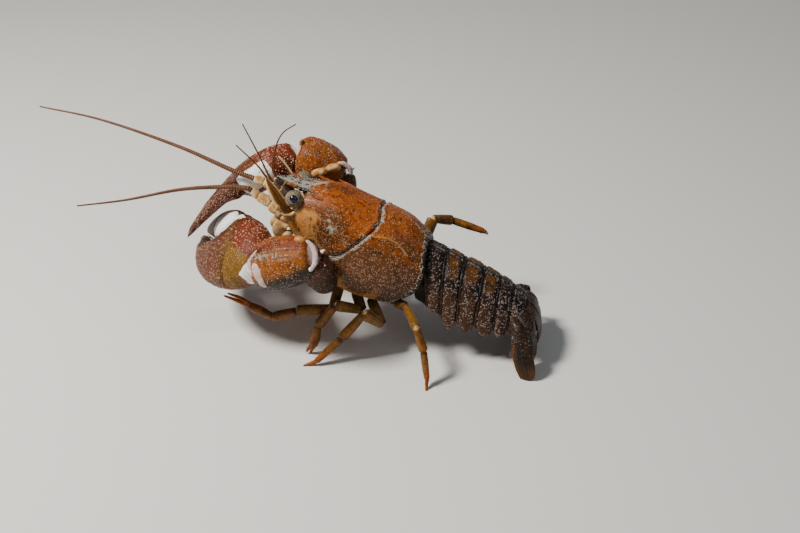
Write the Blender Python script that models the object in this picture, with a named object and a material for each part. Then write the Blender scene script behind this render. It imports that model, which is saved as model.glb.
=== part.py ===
"""Signal crayfish, life size, standing alert with both claws folded across its front.

Sizes are in millimetres and MM turns them into metres. The animal faces -X and its left
side faces -Y. Trunk shapes use body axes (forward, left, up) that start under the rear edge
of the carapace and are pitched head-up. Limbs use standing axes (forward, left, height over
the floor). The origin is on the floor under the middle of the whole animal.
"""
import math

import bmesh
import bpy
from mathutils import Vector

MM = 0.001
GAP = 0.3
WIDE_GAP = 0.5
PLAN_FORWARD = 40.338
PLAN_LEFT = -2.492
SIDES = ((1, "left"), (-1, "right"))
SHARP_ANGLE = math.radians(35)
FLOOR_HALF = 200
FLOOR_DEPTH = 50

# How the trunk stands
PITCH = math.radians(23.5)
TRUNK_HEIGHT = 20.1

# Carapace, in body axes
CARAPACE_TOP = ((-4, 19.4), (0, 20.4), (3, 21.9), (8.5, 23.8), (18, 24.0), (30, 23.8), (36, 22.6),
                (42, 19.6))
CARAPACE_HALF_WIDTH = ((-4, 11.2), (0, 12.0), (8, 13.0), (17, 13.2), (24, 12.6), (30, 11.3), (36, 9.8),
                       (43, 8.3))
CARAPACE_LOWER_EDGE = ((-4, 3.5), (0, 1.0), (4, -1.4), (10, -2.8), (17, -3.6), (24, -2.6), (29, 3.6),
                       (36, 5.0), (43, 5.6))
CARAPACE_CORE_FLOOR = 1.8
CARAPACE_CORE_HALF_WIDTH = 8.4
CARAPACE_ARC_POINTS = 25
CARAPACE_TUCK = 0.84
# Forward places from the back line (0) to the lower edge (1)
REAR_EDGE = ((0, 0.6), (0.3, -1.2), (0.55, -3.0), (0.8, -2.4), (1, 1.2))
NECK_GROOVE = ((0, 18.4), (0.18, 17.0), (0.36, 18.6), (0.55, 22.0), (0.78, 26.6), (1, 28.8))
FRONT_EDGE = ((0, 41.0), (0.4, 41.6), (0.7, 42.8), (0.88, 42.0), (1, 39.6))
GROOVE_DEPTH = 0.75
# End walls of the carapace: forward, up, and how far the middle bulges forward
REAR_WALL = (2.0, 11.0, 1.4)
FRONT_WALL = (42.6, 11.6, 0.4)
WALL_INSET = 0.45
# Beak: forward, half width, up, thickness
ROSTRUM = ((34, 5.6, 20.4, 2.4), (38, 4.9, 20.0, 1.8), (42, 3.8, 19.3, 1.5), (46, 3.1, 18.5, 1.2),
           (48, 2.3, 18.1, 1.0), (50, 1.2, 17.75, 0.7))
ROSTRUM_OUTLINE = ((-1, 0.0), (-0.96, 0.55), (-0.6, 0.5), (0, 0.2), (0.6, 0.5), (0.96, 0.55), (1, 0.0),
                   (0.8, -0.6), (0, -1.0), (-0.8, -0.6))
ROSTRUM_ROOT = (33.0, 0, 18.8)
ROSTRUM_TIP = (52.2, 0, 17.45)
# Spines of the left side: root, tip, half thickness
BACK_SPINES = (((44.8, 2.6, 18.7), (49.0, 3.5, 18.7), 0.75), ((35.4, 5.9, 20.2), (40.6, 6.1, 20.6), 0.9),
               ((29.0, 6.4, 21.6), (34.0, 6.9, 22.0), 0.9))

# Trunk below the carapace
STERNUM = ((0.5, -0.95, 3.4, 1.6), (4, -0.95, 4.6, 2.2), (14, -0.95, 5.0, 2.4), (26, -0.95, 4.6, 2.2),
           (32, 0.2, 3.9, 2.4), (37, 2.8, 3.8, 2.8), (41, 5.0, 3.0, 2.2))
COXA_SPACING = 5.5
REAR_COXA = 3.0

# Abdomen, in standing axes: forward, height of the back line, forward of the lower edge, its height,
# half width
ABDOMEN_STATIONS = (
    (-6.6, 38.0, -8.4, 20.0, 10.2),
    (-13.2, 35.2, -12.8, 18.0, 10.9),
    (-19.0, 32.4, -18.2, 16.4, 11.3),
    (-25.4, 29.5, -24.0, 15.2, 11.2),
    (-30.8, 26.4, -30.0, 14.2, 10.7),
    (-35.2, 23.6, -34.4, 13.4, 9.9),
    (-40.0, 20.2, -38.2, 13.6, 8.2),
)
PLEURON_DROP = (0.6, 4.4, 3.6, 3.6, 3.2, 2.2)
PLEURON_THICKNESS = 1.5
ABDOMEN_ARC_POINTS = 13
# Sections of one ring: share of its length, share of the flap, how far the back is drawn in
RING_STEPS = ((-0.02, 0.05, 1.0), (0.06, 0.3, 0.35), (0.3, 0.75, 0.0), (0.62, 1.0, 0.0), (0.9, 0.8, 0.12),
              (1.0, 0.55, 0.3))

# Tail fan, in standing axes
TELSON_PATH = ((-38.9, 0, 19.2), (-42.2, 0, 17.2), (-44.4, 0, 13.0), (-45.0, 0, 8.0), (-44.5, 0, 4.2))
TELSON_HALF_WIDTHS = (4.4, 5.4, 5.6, 5.2, 3.6)
ENDOPOD_PATH = ((-38.0, 6.2, 14.6), (-41.4, 8.6, 13.0), (-43.1, 10.2, 8.6), (-43.5, 10.8, 4.0),
                (-42.9, 11.0, 0.9))
ENDOPOD_HALF_WIDTHS = (1.7, 3.3, 4.2, 4.1, 2.4)
EXOPOD_PATHS = {
    1: ((-37.4, 9.2, 13.7), (-39.6, 13.2, 11.8), (-40.9, 15.4, 7.4), (-42.2, 16.6, 3.0),
        (-43.0, 17.0, -0.5)),
    -1: ((-37.0, 9.0, 14.4), (-37.4, 12.4, 16.6), (-37.6, 15.2, 11.5), (-38.4, 16.8, 5.0),
         (-39.8, 17.6, -0.5))}
EXOPOD_HALF_WIDTHS = (1.7, 2.9, 3.4, 3.2, 2.2)
FAN_HALF_THICKNESS = 0.62

# Walking legs: coxa end, far end of the ischium, knee, far end of the carpus, far end of the propodus
# and tip, in standing axes with the left side positive
LEGS = {
    "leg_2_left": ((19.9, 7.2, 23.3), (21.6, 11.2, 16.2), (33.4, 12.0, 14.35), (41.2, 13.0, 11.7),
                   (49.4, 12.4, 15.0), (58.0, 12.0, 17.6)),
    "leg_3_left": ((14.8, 7.2, 21.1), (12.0, 10.4, 16.2), (20.0, 14.0, 19.5), (25.6, 15.4, 12.0),
                   (27.6, 15.2, 3.2), (29.0, 14.6, -0.3)),
    "leg_4_left": ((9.8, 7.2, 18.9), (5.2, 11.6, 12.2), (10.4, 15.0, 18.0), (17.3, 17.5, 9.5),
                   (25.4, 21.0, 1.5), (29.6, 22.0, -0.1)),
    "leg_5_left": ((1.4, 7.6, 18.5), (-2.4, 10.6, 19.4), (-7.6, 21.6, 18.9), (-10.1, 23.0, 11.8),
                   (-11.7, 25.5, 2.8), (-11.9, 28.0, -0.3)),
    "leg_2_right": ((19.9, -7.2, 23.3), (21.4, -12.0, 18.4), (30.0, -20.0, 21.4), (36.0, -23.4, 14.6),
                    (39.6, -25.2, 6.4), (41.6, -26.4, -0.2)),
    "leg_3_right": ((14.8, -7.2, 21.1), (14.2, -12.0, 17.6), (18.6, -23.2, 21.6), (22.4, -28.0, 14.4),
                    (25.6, -30.6, 3.6), (27.0, -31.6, -0.3)),
    "leg_4_right": ((9.8, -7.2, 18.9), (7.4, -11.8, 16.4), (5.6, -23.0, 20.8), (7.0, -28.4, 14.0),
                    (8.6, -31.0, 3.4), (9.6, -32.2, -0.3)),
    "leg_5_right": ((4.7, -7.2, 16.7), (-1.6, -12.4, 22.0), (-6.3, -20.0, 35.0), (-12.1, -25.0, 32.2),
                    (-23.1, -25.2, 28.9), (-24.3, -28.0, 26.2)),
}
LEG_HALF = 1.75
PINCER_LEGS = (2, 3)

# Claws by side, in standing axes: coxa end, far end of the ischium, elbow, wrist
CLAW_ARMS = {1: ((25.4, 9.0, 25.7), (22.6, 12.8, 25.6), (26.8, 20.0, 40.5), (44.1, 18.0, 33.4)),
             -1: ((25.4, -9.0, 25.7), (23.6, -16.4, 28.4), (26.9, -24.0, 47.6), (40.9, -22.0, 54.4))}
CLAW_AXES = {1: (0.60, -0.76, -0.25), -1: (0.740, 0.346, -0.578)}
CLAW_BACKS = {1: (0.716, 0.287, 0.648), -1: (0.64, -0.12, 0.76)}
CLAW_SCALES = {1: 1.0, -1: 0.94}
CLAW_BOW = 2.7
# Share of the thumb side's width that each claw has
THUMB_SIDE_WIDTHS = {1: 1.0, -1: 0.79}
# The right claw's fingers lose this share of their depth between two places along them
SLIM_START = 20
SLIM_END = 30
SLIM_SHARE = 0.75
# Share of the way, half across, half deep
ARM_BASE_STATIONS = ((0.0, 2.6, 2.8), (0.7, 2.9, 3.1), (1.0, 2.9, 3.1), (1.5, 2.9, 3.2), (1.95, 2.7, 3.0))
ARM_STATIONS = ((0.02, 3.2, 3.6), (0.2, 3.9, 4.4), (0.5, 4.5, 5.2), (0.8, 5.0, 5.9), (0.95, 4.8, 5.6))
WRIST_STATIONS = ((-0.16, 4.6, 4.4), (0.0, 6.2, 5.8), (0.25, 7.7, 7.2), (0.55, 8.3, 7.6), (0.8, 7.6, 7.0),
                  (0.97, 6.0, 5.6))
# Palm and fixed finger: along, outer edge, inner edge, half depth
PALM = ((1.0, -5.6, 7.8, 4.8), (4.5, -8.6, 11.2, 6.0), (9.5, -10.9, 12.9, 6.5), (15, -12.1, 13.2, 6.5),
        (19.5, -12.5, 12.6, 6.2), (21.8, -12.5, 9.6, 5.7), (23.2, -12.3, 4.0, 5.3), (26.5, -11.9, 0.6, 4.8),
        (32, -10.6, -0.3, 4.1), (38, -8.5, -0.6, 3.3), (43.5, -5.9, -0.6, 2.5), (47.5, -3.2, -0.5, 1.6))
PALM_TIP = (50.0, -1.2)
# Dactyl: along, cutting edge, outer edge, half depth
DACTYL = ((22.6, 2.6, 10.8, 3.0), (25, 2.0, 13.0, 4.0), (30, 1.2, 12.5, 3.9), (36, 0.8, 10.7, 3.3),
          (42, 0.7, 7.6, 2.5), (46.5, 0.6, 4.1, 1.6))
DACTYL_TIP = (49.6, 1.0)

# Head, in body axes
EYESTALK_ROOT = (40.6, 3.2, 14.6)
EYE_CENTRE = (44.45, 6.78, 16.7)
# Along the stalk from the bulb's centre, and half thickness
EYESTALK_STATIONS = ((-5.9, 1.9), (-2.9, 1.95), (-1.5, 2.4), (0.0, 2.75), (1.6, 2.2))
EYE_LOOK = (0.15, 0.82, 0.53)
EYE_HALF = 1.62
EYE_REACH = (1.1, 2.05)
FEELER_BASES = {
    1: ((41.5, 5.6, 9.2), (45.6, 6.6, 10.4), (50.2, 6.4, 11.4), (54.6, 6.0, 11.8), (57.2, 5.9, 12.2)),
    -1: ((41.5, 5.6, 9.2), (45.8, 6.6, 9.7), (50.6, 6.6, 9.9), (55.6, 6.1, 9.6), (58.8, 5.9, 9.4))}
FEELER_BASE_HALVES = ((2.0, 2.0), (2.3, 2.2), (1.75, 1.7), (1.5, 1.45), (1.3, 1.25))
FEELER_SCALE = ((43.4, 8.0, 11.6), (47.5, 8.6, 14.6), (51.5, 8.3, 17.6), (54.6, 7.6, 19.8))
FEELER_SCALE_HALVES = ((1.5, 0.8), (2.2, 0.6), (1.8, 0.5), (0.5, 0.35))
FEELER_SCALE_ACROSS = (0.75, -0.65)
SMALL_FEELER_BASE = ((41.5, 1.7, 12.4), (45.5, 1.8, 13.6), (49.5, 1.7, 14.6), (52.4, 1.6, 15.6))
SMALL_FEELER_BASE_HALVES = ((1.25, 1.25), (1.3, 1.2), (1.1, 1.05), (0.9, 0.85))
SMALL_FEELER_ROOT = (51.8, 1.6, 15.6)
SMALL_FEELERS = {
    1: (((54.6, 1.8, 17.6), (59.2, 2.2, 22.5), (67.8, 3.2, 31.1)),
        ((54.8, 2.2, 16.8), (58.6, 3.0, 19.7), (67.1, 5.0, 24.4))),
    -1: (((54.4, -1.8, 18.0), (56.2, -2.4, 25.7), (55.9, -3.0, 30.8), (53.3, -3.6, 35.3)),
         ((53.6, -1.1, 18.0), (54.8, -1.0, 21.4), (55.4, -1.0, 24.7)))}
SMALL_FEELER_THICK = 0.42
SMALL_FEELER_THIN = 0.25
JAW_LEG = ((27, 3.3, -3.2), (35, 3.6, -2.4), (41.0, 3.8, 0.2), (44.6, 3.7, 4.2), (45.4, 3.3, 6.4))
JAW_LEG_HALVES = ((1.9, 1.5), (1.9, 1.5), (1.6, 1.5), (1.3, 1.3), (0.7, 0.8))

# Whips of the long feelers, in standing axes
FEELERS = {
    1: ((48.6, 6.2, 55.1), (56.5, 7.0, 55.3), (69.6, 10.0, 54.7), (86.1, 15.0, 52.1), (100.0, 20.0, 51.4)),
    -1: ((57.2, -6.5, 54.0), (76.0, -9.5, 59.6), (104.2, -13.0, 65.6), (125.9, -15.0, 67.7))}
FEELER_THICK = 0.95
FEELER_THIN = 0.26


def standing(forward, left, height):
    """A place in standing axes as a world point."""
    return Vector((PLAN_FORWARD - forward, PLAN_LEFT - left, height)) * MM


def trunk(forward, left, up):
    """A place in body axes as a world point."""
    ahead = forward * math.cos(PITCH) - up * math.sin(PITCH)
    height = TRUNK_HEIGHT + forward * math.sin(PITCH) + up * math.cos(PITCH)
    return standing(ahead, left, height)


def direction(forward, left, height):
    """A unit direction in standing axes as a world vector."""
    return Vector((-forward, -left, height)).normalized()


def smooth_value(keys, x):
    """Read a smooth curve through (position, value) keys."""
    if x <= keys[0][0]:
        return keys[0][1]
    if x >= keys[-1][0]:
        return keys[-1][1]
    slopes = []
    for i in range(len(keys)):
        before = keys[max(i - 1, 0)]
        after = keys[min(i + 1, len(keys) - 1)]
        slopes.append((after[1] - before[1]) / (after[0] - before[0]))
    for i in range(len(keys) - 1):
        x0, v0 = keys[i]
        x1, v1 = keys[i + 1]
        if x <= x1:
            span = x1 - x0
            t = (x - x0) / span
            return ((2 * t**3 - 3 * t**2 + 1) * v0 + (t**3 - 2 * t**2 + t) * span * slopes[i]
                    + (3 * t**2 - 2 * t**3) * v1 + (t**3 - t**2) * span * slopes[i + 1])


def smooth_path(points, count):
    """Read count + 1 points along a smooth curve through the given points."""
    distance = [0.0]
    for a, b in zip(points, points[1:]):
        distance.append(distance[-1] + (b - a).length)
    axes = [[(d, p[axis]) for d, p in zip(distance, points)] for axis in range(3)]
    steps = [distance[-1] * i / count for i in range(count + 1)]
    return [Vector([smooth_value(keys, s) for keys in axes]) for s in steps]


def unit_oval(sides, power=2.0):
    """Corners of a rounded section one unit wide each way from its middle."""
    corners = []
    for i in range(sides):
        angle = 2 * math.pi * (i + 0.5) / sides
        c = math.cos(angle)
        s = math.sin(angle)
        corners.append((math.copysign(abs(c) ** (2 / power), c), math.copysign(abs(s) ** (2 / power), s)))
    return corners


def oval_ring(centre, across, deep, half_across, half_deep, sides, power=2.0):
    """One closed ring; half sizes are in millimetres."""
    ring = []
    for a, d in unit_oval(sides, power):
        ring.append(centre + across * (a * half_across * MM) + deep * (d * half_deep * MM))
    return ring


def tube(path, halves, hint, sides=8, power=2.0, grow=0.0, blunt=(0.6, 0.6)):
    """A tapered tube with domed ends: path points, (across, deep) half sizes and an across hint."""
    rings = []
    frames = []
    for i, point in enumerate(path):
        before = path[max(i - 1, 0)]
        after = path[min(i + 1, len(path) - 1)]
        along = Vector((0, 0, 0))
        if i > 0:
            along += (point - before).normalized()
        if i < len(path) - 1:
            along += (after - point).normalized()
        along.normalize()
        across = (hint - along * hint.dot(along)).normalized()
        frames.append((along, across, along.cross(across)))
    for point, (half_a, half_d), (along, across, deep) in zip(path, halves, frames):
        rings.append(oval_ring(point, across, deep, half_a + grow, half_d + grow, sides, power))
    start, end = path[0], path[-1]
    first, last = [], []
    ends = ((first, start, 0, -1, blunt[0]), (last, end, -1, 1, blunt[1]))
    for share, size in (((0.55, 0.83), (0.9, 0.45)) if sides > 8 else ((0.75, 0.66),)):
        for target, point, index, sign, dome in ends:
            half_a, half_d = halves[index]
            along, across, deep = frames[index]
            reach = (min(half_a, half_d) * dome + grow) * share
            centre = point + along * (sign * reach * MM)
            sizes = ((half_a + grow) * size, (half_d + grow) * size)
            target.append(oval_ring(centre, across, deep, *sizes, sides, power))
    rings = first[::-1] + rings + last
    tips = []
    for point, index, sign, dome in ((start, 0, -1, blunt[0]), (end, -1, 1, blunt[1])):
        reach = min(halves[index]) * dome + grow
        tips.append(point + frames[index][0] * (sign * reach * MM))
    return rings, tips[0], tips[1]


def add_shape(name, shape):
    """A closed mesh object from rings and the points that close both ends."""
    rings, first_tip, last_tip = shape
    mesh = bmesh.new()
    rows = [[mesh.verts.new(point) for point in ring] for ring in rings]
    count = len(rows[0])
    for lower, upper in zip(rows, rows[1:]):
        for i in range(count):
            j = (i + 1) % count
            mesh.faces.new((lower[i], lower[j], upper[j], upper[i]))
    for row, tip, forward in ((rows[0], first_tip, False), (rows[-1], last_tip, True)):
        if tip is None:
            mesh.faces.new(row if forward else row[::-1])
            continue
        pole = mesh.verts.new(tip)
        for i in range(count):
            j = (i + 1) % count
            mesh.faces.new((row[i], row[j], pole) if forward else (row[j], row[i], pole))
    bmesh.ops.recalc_face_normals(mesh, faces=mesh.faces)
    data = bpy.data.meshes.new(name)
    mesh.to_mesh(data)
    mesh.free()
    thing = bpy.data.objects.new(name, data)
    bpy.context.scene.collection.objects.link(thing)
    return thing


def keep_largest(thing):
    """Drop every closed surface of a mesh but the largest."""
    mesh = bmesh.new()
    mesh.from_mesh(thing.data)
    left_over = set(mesh.faces)
    parts = []
    while left_over:
        stack = [left_over.pop()]
        part = set(stack)
        while stack:
            for edge in stack.pop().edges:
                for face in edge.link_faces:
                    if face in left_over:
                        left_over.remove(face)
                        part.add(face)
                        stack.append(face)
        parts.append(part)
    parts.sort(key=lambda part: sum(face.calc_area() for face in part))
    for part in parts[:-1]:
        bmesh.ops.delete(mesh, geom=list(part), context="FACES")
    loose = [vert for vert in mesh.verts if not vert.link_faces]
    bmesh.ops.delete(mesh, geom=loose, context="VERTS")
    mesh.to_mesh(thing.data)
    mesh.free()


def combine(thing, shapes, operation, solver="EXACT"):
    """Join or cut an object with closed shapes, which are then removed."""
    if not shapes:
        return
    tools = bpy.data.collections.new(thing.name + "_tools")
    for i, shape in enumerate(shapes):
        tool = add_shape(f"{thing.name}_tool_{i}", shape)
        bpy.context.scene.collection.objects.unlink(tool)
        tools.objects.link(tool)
    modifier = thing.modifiers.new("combine", "BOOLEAN")
    modifier.operand_type = "COLLECTION"
    modifier.collection = tools
    modifier.operation = operation
    modifier.solver = solver
    bpy.context.view_layer.update()
    graph = bpy.context.evaluated_depsgraph_get()
    result = bpy.data.meshes.new_from_object(thing.evaluated_get(graph))
    thing.modifiers.clear()
    thing.data = result
    for tool in list(tools.objects):
        bpy.data.objects.remove(tool)
    bpy.data.collections.remove(tools)


def shell_finish(colour):
    """A plain shell finish of the named colour."""
    palette = {
        "shell_orange": ((0.33, 0.085, 0.02), 0.36),
        "shell_dark": ((0.10, 0.055, 0.035), 0.5),
        "claw_red": ((0.24, 0.05, 0.025), 0.32),
        "leg_amber": ((0.36, 0.15, 0.035), 0.38),
        "feeler_brown": ((0.22, 0.075, 0.035), 0.45),
        "under_cream": ((0.55, 0.40, 0.20), 0.5),
        "eye_black": ((0.008, 0.009, 0.014), 0.08),
    }
    shade, rough = palette[colour]
    material = bpy.data.materials.new(colour)
    material.use_nodes = True
    surface = material.node_tree.nodes["Principled BSDF"]
    surface.inputs["Base Color"].default_value = (*shade, 1)
    surface.inputs["Roughness"].default_value = rough
    surface.inputs["Metallic"].default_value = 0.0
    return material


def make_node(name, shapes, colour, cuts=(), solver="EXACT"):
    """One named piece of the animal: joined shapes, less what is cut away."""
    thing = add_shape(name, shapes[0])
    combine(thing, shapes[1:], "UNION", solver)
    combine(thing, list(cuts), "DIFFERENCE", solver)
    keep_largest(thing)
    thing.data.materials.clear()
    thing.data.materials.append(shell_finish(colour))
    thing.data.shade_smooth()
    thing.data.set_sharp_from_angle(angle=SHARP_ANGLE)
    return thing


def floor_block():
    """A block whose top is the floor, to cut the small flats that the animal rests on."""
    corners = ((-FLOOR_HALF, -FLOOR_HALF), (FLOOR_HALF, -FLOOR_HALF), (FLOOR_HALF, FLOOR_HALF),
               (-FLOOR_HALF, FLOOR_HALF))
    rings = [[Vector((x, y, height)) * MM for x, y in corners] for height in (-FLOOR_DEPTH, 0.0)]
    return rings, None, None


def spine(root, tip, half):
    """A pointed spine whose root is sunk in what carries it."""
    path = [root, root.lerp(tip, 0.6), root.lerp(tip, 0.95)]
    halves = [(half, half), (half * 0.6, half * 0.6), (0.14, 0.14)]
    return tube(path, halves, Vector((0.3, 1, 0.2)), 6, blunt=(0.2, 1.0))


def arch(half_width, top, low, count, tuck):
    """An upright horseshoe section: (left, up) pairs from the left lower edge over the back."""
    middle = low + 0.42 * (top - low)
    below = math.radians(50)
    points = []
    for i in range(count):
        angle = -below + (math.pi + 2 * below) * i / (count - 1)
        side = math.copysign(abs(math.cos(angle)) ** 0.86, math.cos(angle))
        if math.sin(angle) >= 0:
            up = middle + (top - middle) * abs(math.sin(angle)) ** 0.93
        else:
            drop = abs(math.sin(angle)) / math.sin(below)
            up = middle - (middle - low) * drop
            side = math.copysign(1 - (1 - tuck) * drop**2, side)
        points.append((half_width * side, up))
    return points


def carapace_shape():
    """The carapace: rings from the rear edge to the head, with the groove sunk between them."""
    steps = [-1, -0.92, -0.78, -0.6, -0.4, -0.2, -0.07, 0, 0.06, 0.18, 0.34, 0.52, 0.7, 0.86, 1]
    rings = []
    last = CARAPACE_ARC_POINTS - 1
    for step in steps:
        ring = []
        sink = 0.0 if step else GROOVE_DEPTH
        for i in range(CARAPACE_ARC_POINTS):
            share = abs(2 * i / last - 1)
            groove = smooth_value(NECK_GROOVE, share)
            end = smooth_value(REAR_EDGE if step < 0 else FRONT_EDGE, share)
            x = groove + (end - groove) * abs(step)
            half = smooth_value(CARAPACE_HALF_WIDTH, x) - sink
            top = smooth_value(CARAPACE_TOP, x) - sink
            low = smooth_value(CARAPACE_LOWER_EDGE, x)
            side, up = arch(half, top, low, CARAPACE_ARC_POINTS, CARAPACE_TUCK)[i]
            ring.append((x, side, up))
        left, right = ring[0], ring[-1]
        inner = min(CARAPACE_CORE_HALF_WIDTH, left[1] - 2.0)
        roof = max(CARAPACE_CORE_FLOOR, left[2] + 0.8)
        ring.append((right[0], right[1] + 1.3, right[2] + 0.3))
        ring.append((right[0], -inner, roof))
        ring.append((left[0], inner, roof))
        ring.append((left[0], left[1] - 1.3, left[2] + 0.3))
        rings.append(ring)
    walls, tips = [], []
    for ring, (forward, up, bulge) in ((rings[0], REAR_WALL), (rings[-1], FRONT_WALL)):
        wall = []
        for x, side, height in ring:
            ahead = x + (forward - x) * WALL_INSET + bulge
            wall.append((ahead, side * (1 - WALL_INSET), height + (up - height) * WALL_INSET))
        walls.append(wall)
        tips.append(trunk(forward + bulge, 0, up))
    rings = [walls[0]] + rings + [walls[1]]
    return [[trunk(*point) for point in ring] for ring in rings], tips[0], tips[1]


def rostrum_shape():
    """The beak between the eyes: a shallow trough that narrows to a point."""
    rings = []
    for x, half, up, thick in ROSTRUM:
        rings.append([trunk(x, side * half, up + lift * thick) for side, lift in ROSTRUM_OUTLINE])
    return rings, trunk(*ROSTRUM_ROOT), trunk(*ROSTRUM_TIP)


def make_carapace(cuts):
    """The carapace with its beak, shoulder spines and the spines behind the eyes."""
    shapes = [carapace_shape(), rostrum_shape()]
    for root, tip, half in BACK_SPINES:
        for side in (-1, 1):
            base = trunk(root[0], root[1] * side, root[2])
            shapes.append(spine(base, trunk(tip[0], tip[1] * side, tip[2]), half))
    return make_node("carapace", shapes, "shell_orange", cuts, "MANIFOLD")


def sternum_shape(grow=0.0):
    """The keel between the legs, with the mouth at its front end."""
    path, halves = [], []
    for x, up, half, deep in STERNUM:
        path.append(trunk(x, 0, up))
        halves.append((half, deep))
    return tube(path, halves, Vector((0, 1, 0)), 12, 2.6, grow)


def coxa_place(pair, side):
    """Where a leg leaves the keel, in body axes; pair 5 is the rearmost."""
    return trunk(REAR_COXA + COXA_SPACING * (5 - pair), 4.6 * side, -0.6)


def abdomen_section(station, drop, inset, grow):
    """One closed outline across the abdomen, with a flap down each side."""
    forward, top, low_forward, low, half = station
    half += grow - inset
    top += grow - inset
    low -= grow
    drop += grow
    flap = PLEURON_THICKNESS + 2 * grow
    corners = [(half - 0.3, 0.0, drop)]
    for i in range(ABDOMEN_ARC_POINTS):
        angle = math.pi * i / (ABDOMEN_ARC_POINTS - 1)
        side = half * math.copysign(abs(math.cos(angle)) ** 0.8, math.cos(angle))
        corners.append((side, abs(math.sin(angle)) ** 0.9, 0.0))
    corners.append((-half + 0.3, 0.0, drop))
    corners.append((-half + flap, 0.0, drop * 0.9))
    corners.append((-half + flap + 0.4, 0.06, 0.0))
    corners.append((0.0, 0.02, 0.0))
    corners.append((half - flap - 0.4, 0.06, 0.0))
    corners.append((half - flap, 0.0, drop * 0.9))
    outline = []
    for side, share, below in corners:
        ahead = low_forward + (forward - low_forward) * share
        outline.append(standing(ahead, side, low + (top - low) * share - below))
    return outline


def abdomen_shape(index, grow=0.0):
    """Ring number index: its front tucks under the ring ahead, its sides hang in a lobe."""
    ahead = ABDOMEN_STATIONS[index]
    behind = ABDOMEN_STATIONS[index + 1]
    tuck = (-0.28 if index else -0.75) - grow * 0.2
    rings = []
    for share, lobe, inset in ((tuck, 0.0, 1.0), *RING_STEPS):
        station = [a + (b - a) * share for a, b in zip(ahead, behind)]
        rings.append(abdomen_section(station, PLEURON_DROP[index] * lobe, inset, grow))
    return (rings[:5] if grow else rings), None, None


def fan_plate(path, half_widths, hint, side=1, grow=0.0):
    """One leaf of the tail fan: lens sections along a bent path."""
    points = smooth_path([standing(f, l * side, h) for f, l, h in path], 8)
    keys = [(i / (len(half_widths) - 1), half) for i, half in enumerate(half_widths)]
    halves = []
    for i in range(9):
        halves.append((smooth_value(keys, i / 8), FAN_HALF_THICKNESS * (1.35 if i < 2 else 1.0)))
    across = direction(hint[0], hint[1] * side, hint[2])
    return tube(points, halves, across, 10, 2.0, grow, (0.6, 1.6))


def limb_path(joints, stations):
    """Points and half sizes along a jointed limb: (joint number and share, across, deep)."""
    path, halves = [], []
    for place, half_across, half_deep in stations:
        index = min(max(int(place), 0), len(joints) - 2)
        path.append(joints[index].lerp(joints[index + 1], place - index))
        halves.append((half_across, half_deep))
    return path, halves


def leg_upper_shape(name, grow=0.0):
    """Coxa, ischium and merus of a walking leg."""
    pair = int(name[4])
    side = 1 if name.endswith("left") else -1
    joints = [coxa_place(pair, side)] + [standing(*joint) for joint in LEGS[name][:3]]
    big = LEG_HALF
    stations = ((0, 1.9, 2.0), (0.7, 1.9, 2.1), (1.0, 1.3, 1.5), (1.25, big * 0.8, big),
                (1.8, big * 0.85, big), (2.0, big * 0.66, big * 0.8), (2.15, big * 0.75, big),
                (2.6, big * 0.8, big * 1.15), (2.9, big * 0.8, big * 1.05))
    path, halves = limb_path(joints, stations)
    return tube(path, halves, leg_hint(name), 8, 2.0, grow)


def leg_hint(name):
    """The hinge direction of a leg, square to the plane it bends in."""
    joints = [standing(*joint) for joint in LEGS[name]]
    square = (joints[2] - joints[1]).cross(joints[4] - joints[2])
    return square.normalized()


def leg_lower_shape(name, grow=0.0):
    """Carpus, propodus and dactyl of a walking leg."""
    joints = [standing(*joint) for joint in LEGS[name][2:]]
    thick = LEG_HALF
    pincer = int(name[4]) in PINCER_LEGS
    stations = [(0.0, thick * 0.7, thick * 0.8), (0.12, thick * 0.72, thick * 0.85),
                (0.6, thick * 0.82, thick * 0.98), (0.92, thick * 0.76, thick * 0.9),
                (1.0, thick * 0.62, thick * 0.7), (1.1, thick * 0.68, thick * 0.78)]
    if pincer:
        stations += [(1.5, thick * 0.7, thick * 0.95), (1.95, thick * 0.6, thick * 0.85),
                     (2.5, thick * 0.45, thick * 0.55), (2.92, 0.35, 0.4)]
    else:
        stations += [(1.5, thick * 0.64, thick * 0.74), (1.95, thick * 0.52, thick * 0.6),
                     (2.05, thick * 0.45, thick * 0.5), (2.5, thick * 0.34, thick * 0.4), (2.92, 0.35, 0.4)]
    path, halves = limb_path(joints, stations)
    return tube(path, halves, leg_hint(name), 8, 2.0, grow)


def leg_second_finger(name):
    """The movable finger beside the tip of a pincer leg."""
    joints = [standing(*joint) for joint in LEGS[name][3:]]
    hint = leg_hint(name)
    along = (joints[2] - joints[1]).normalized()
    aside = along.cross(hint).normalized()
    if aside.z < 0:
        aside = -aside
    start = joints[1] - along * 0.6 * MM + aside * 0.5 * MM
    reach = (joints[2] - joints[1]).length * 0.9
    end = joints[1] + along * reach + aside * 1.5 * MM
    path = [start, start.lerp(end, 0.5) + aside * 0.4 * MM, end]
    return tube(path, [(0.8, 0.8), (0.62, 0.6), (0.3, 0.32)], hint, 6)


def claw_frame(side):
    """Wrist, claw axis, back direction and inner direction of one claw."""
    axis = direction(*CLAW_AXES[side])
    back = direction(*CLAW_BACKS[side])
    back = (back - axis * back.dot(axis)).normalized()
    inner = axis.cross(back) if side > 0 else back.cross(axis)
    return standing(*CLAW_ARMS[side][3]), axis, back, inner


def finger_slimming(side, along):
    """Share of its depth that a finger of the right claw lacks on its inner face."""
    if side > 0:
        return 0.0
    t = min(max((along - SLIM_START) / (SLIM_END - SLIM_START), 0.0), 1.0)
    return SLIM_SHARE * t * t * (3 - 2 * t)


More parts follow.
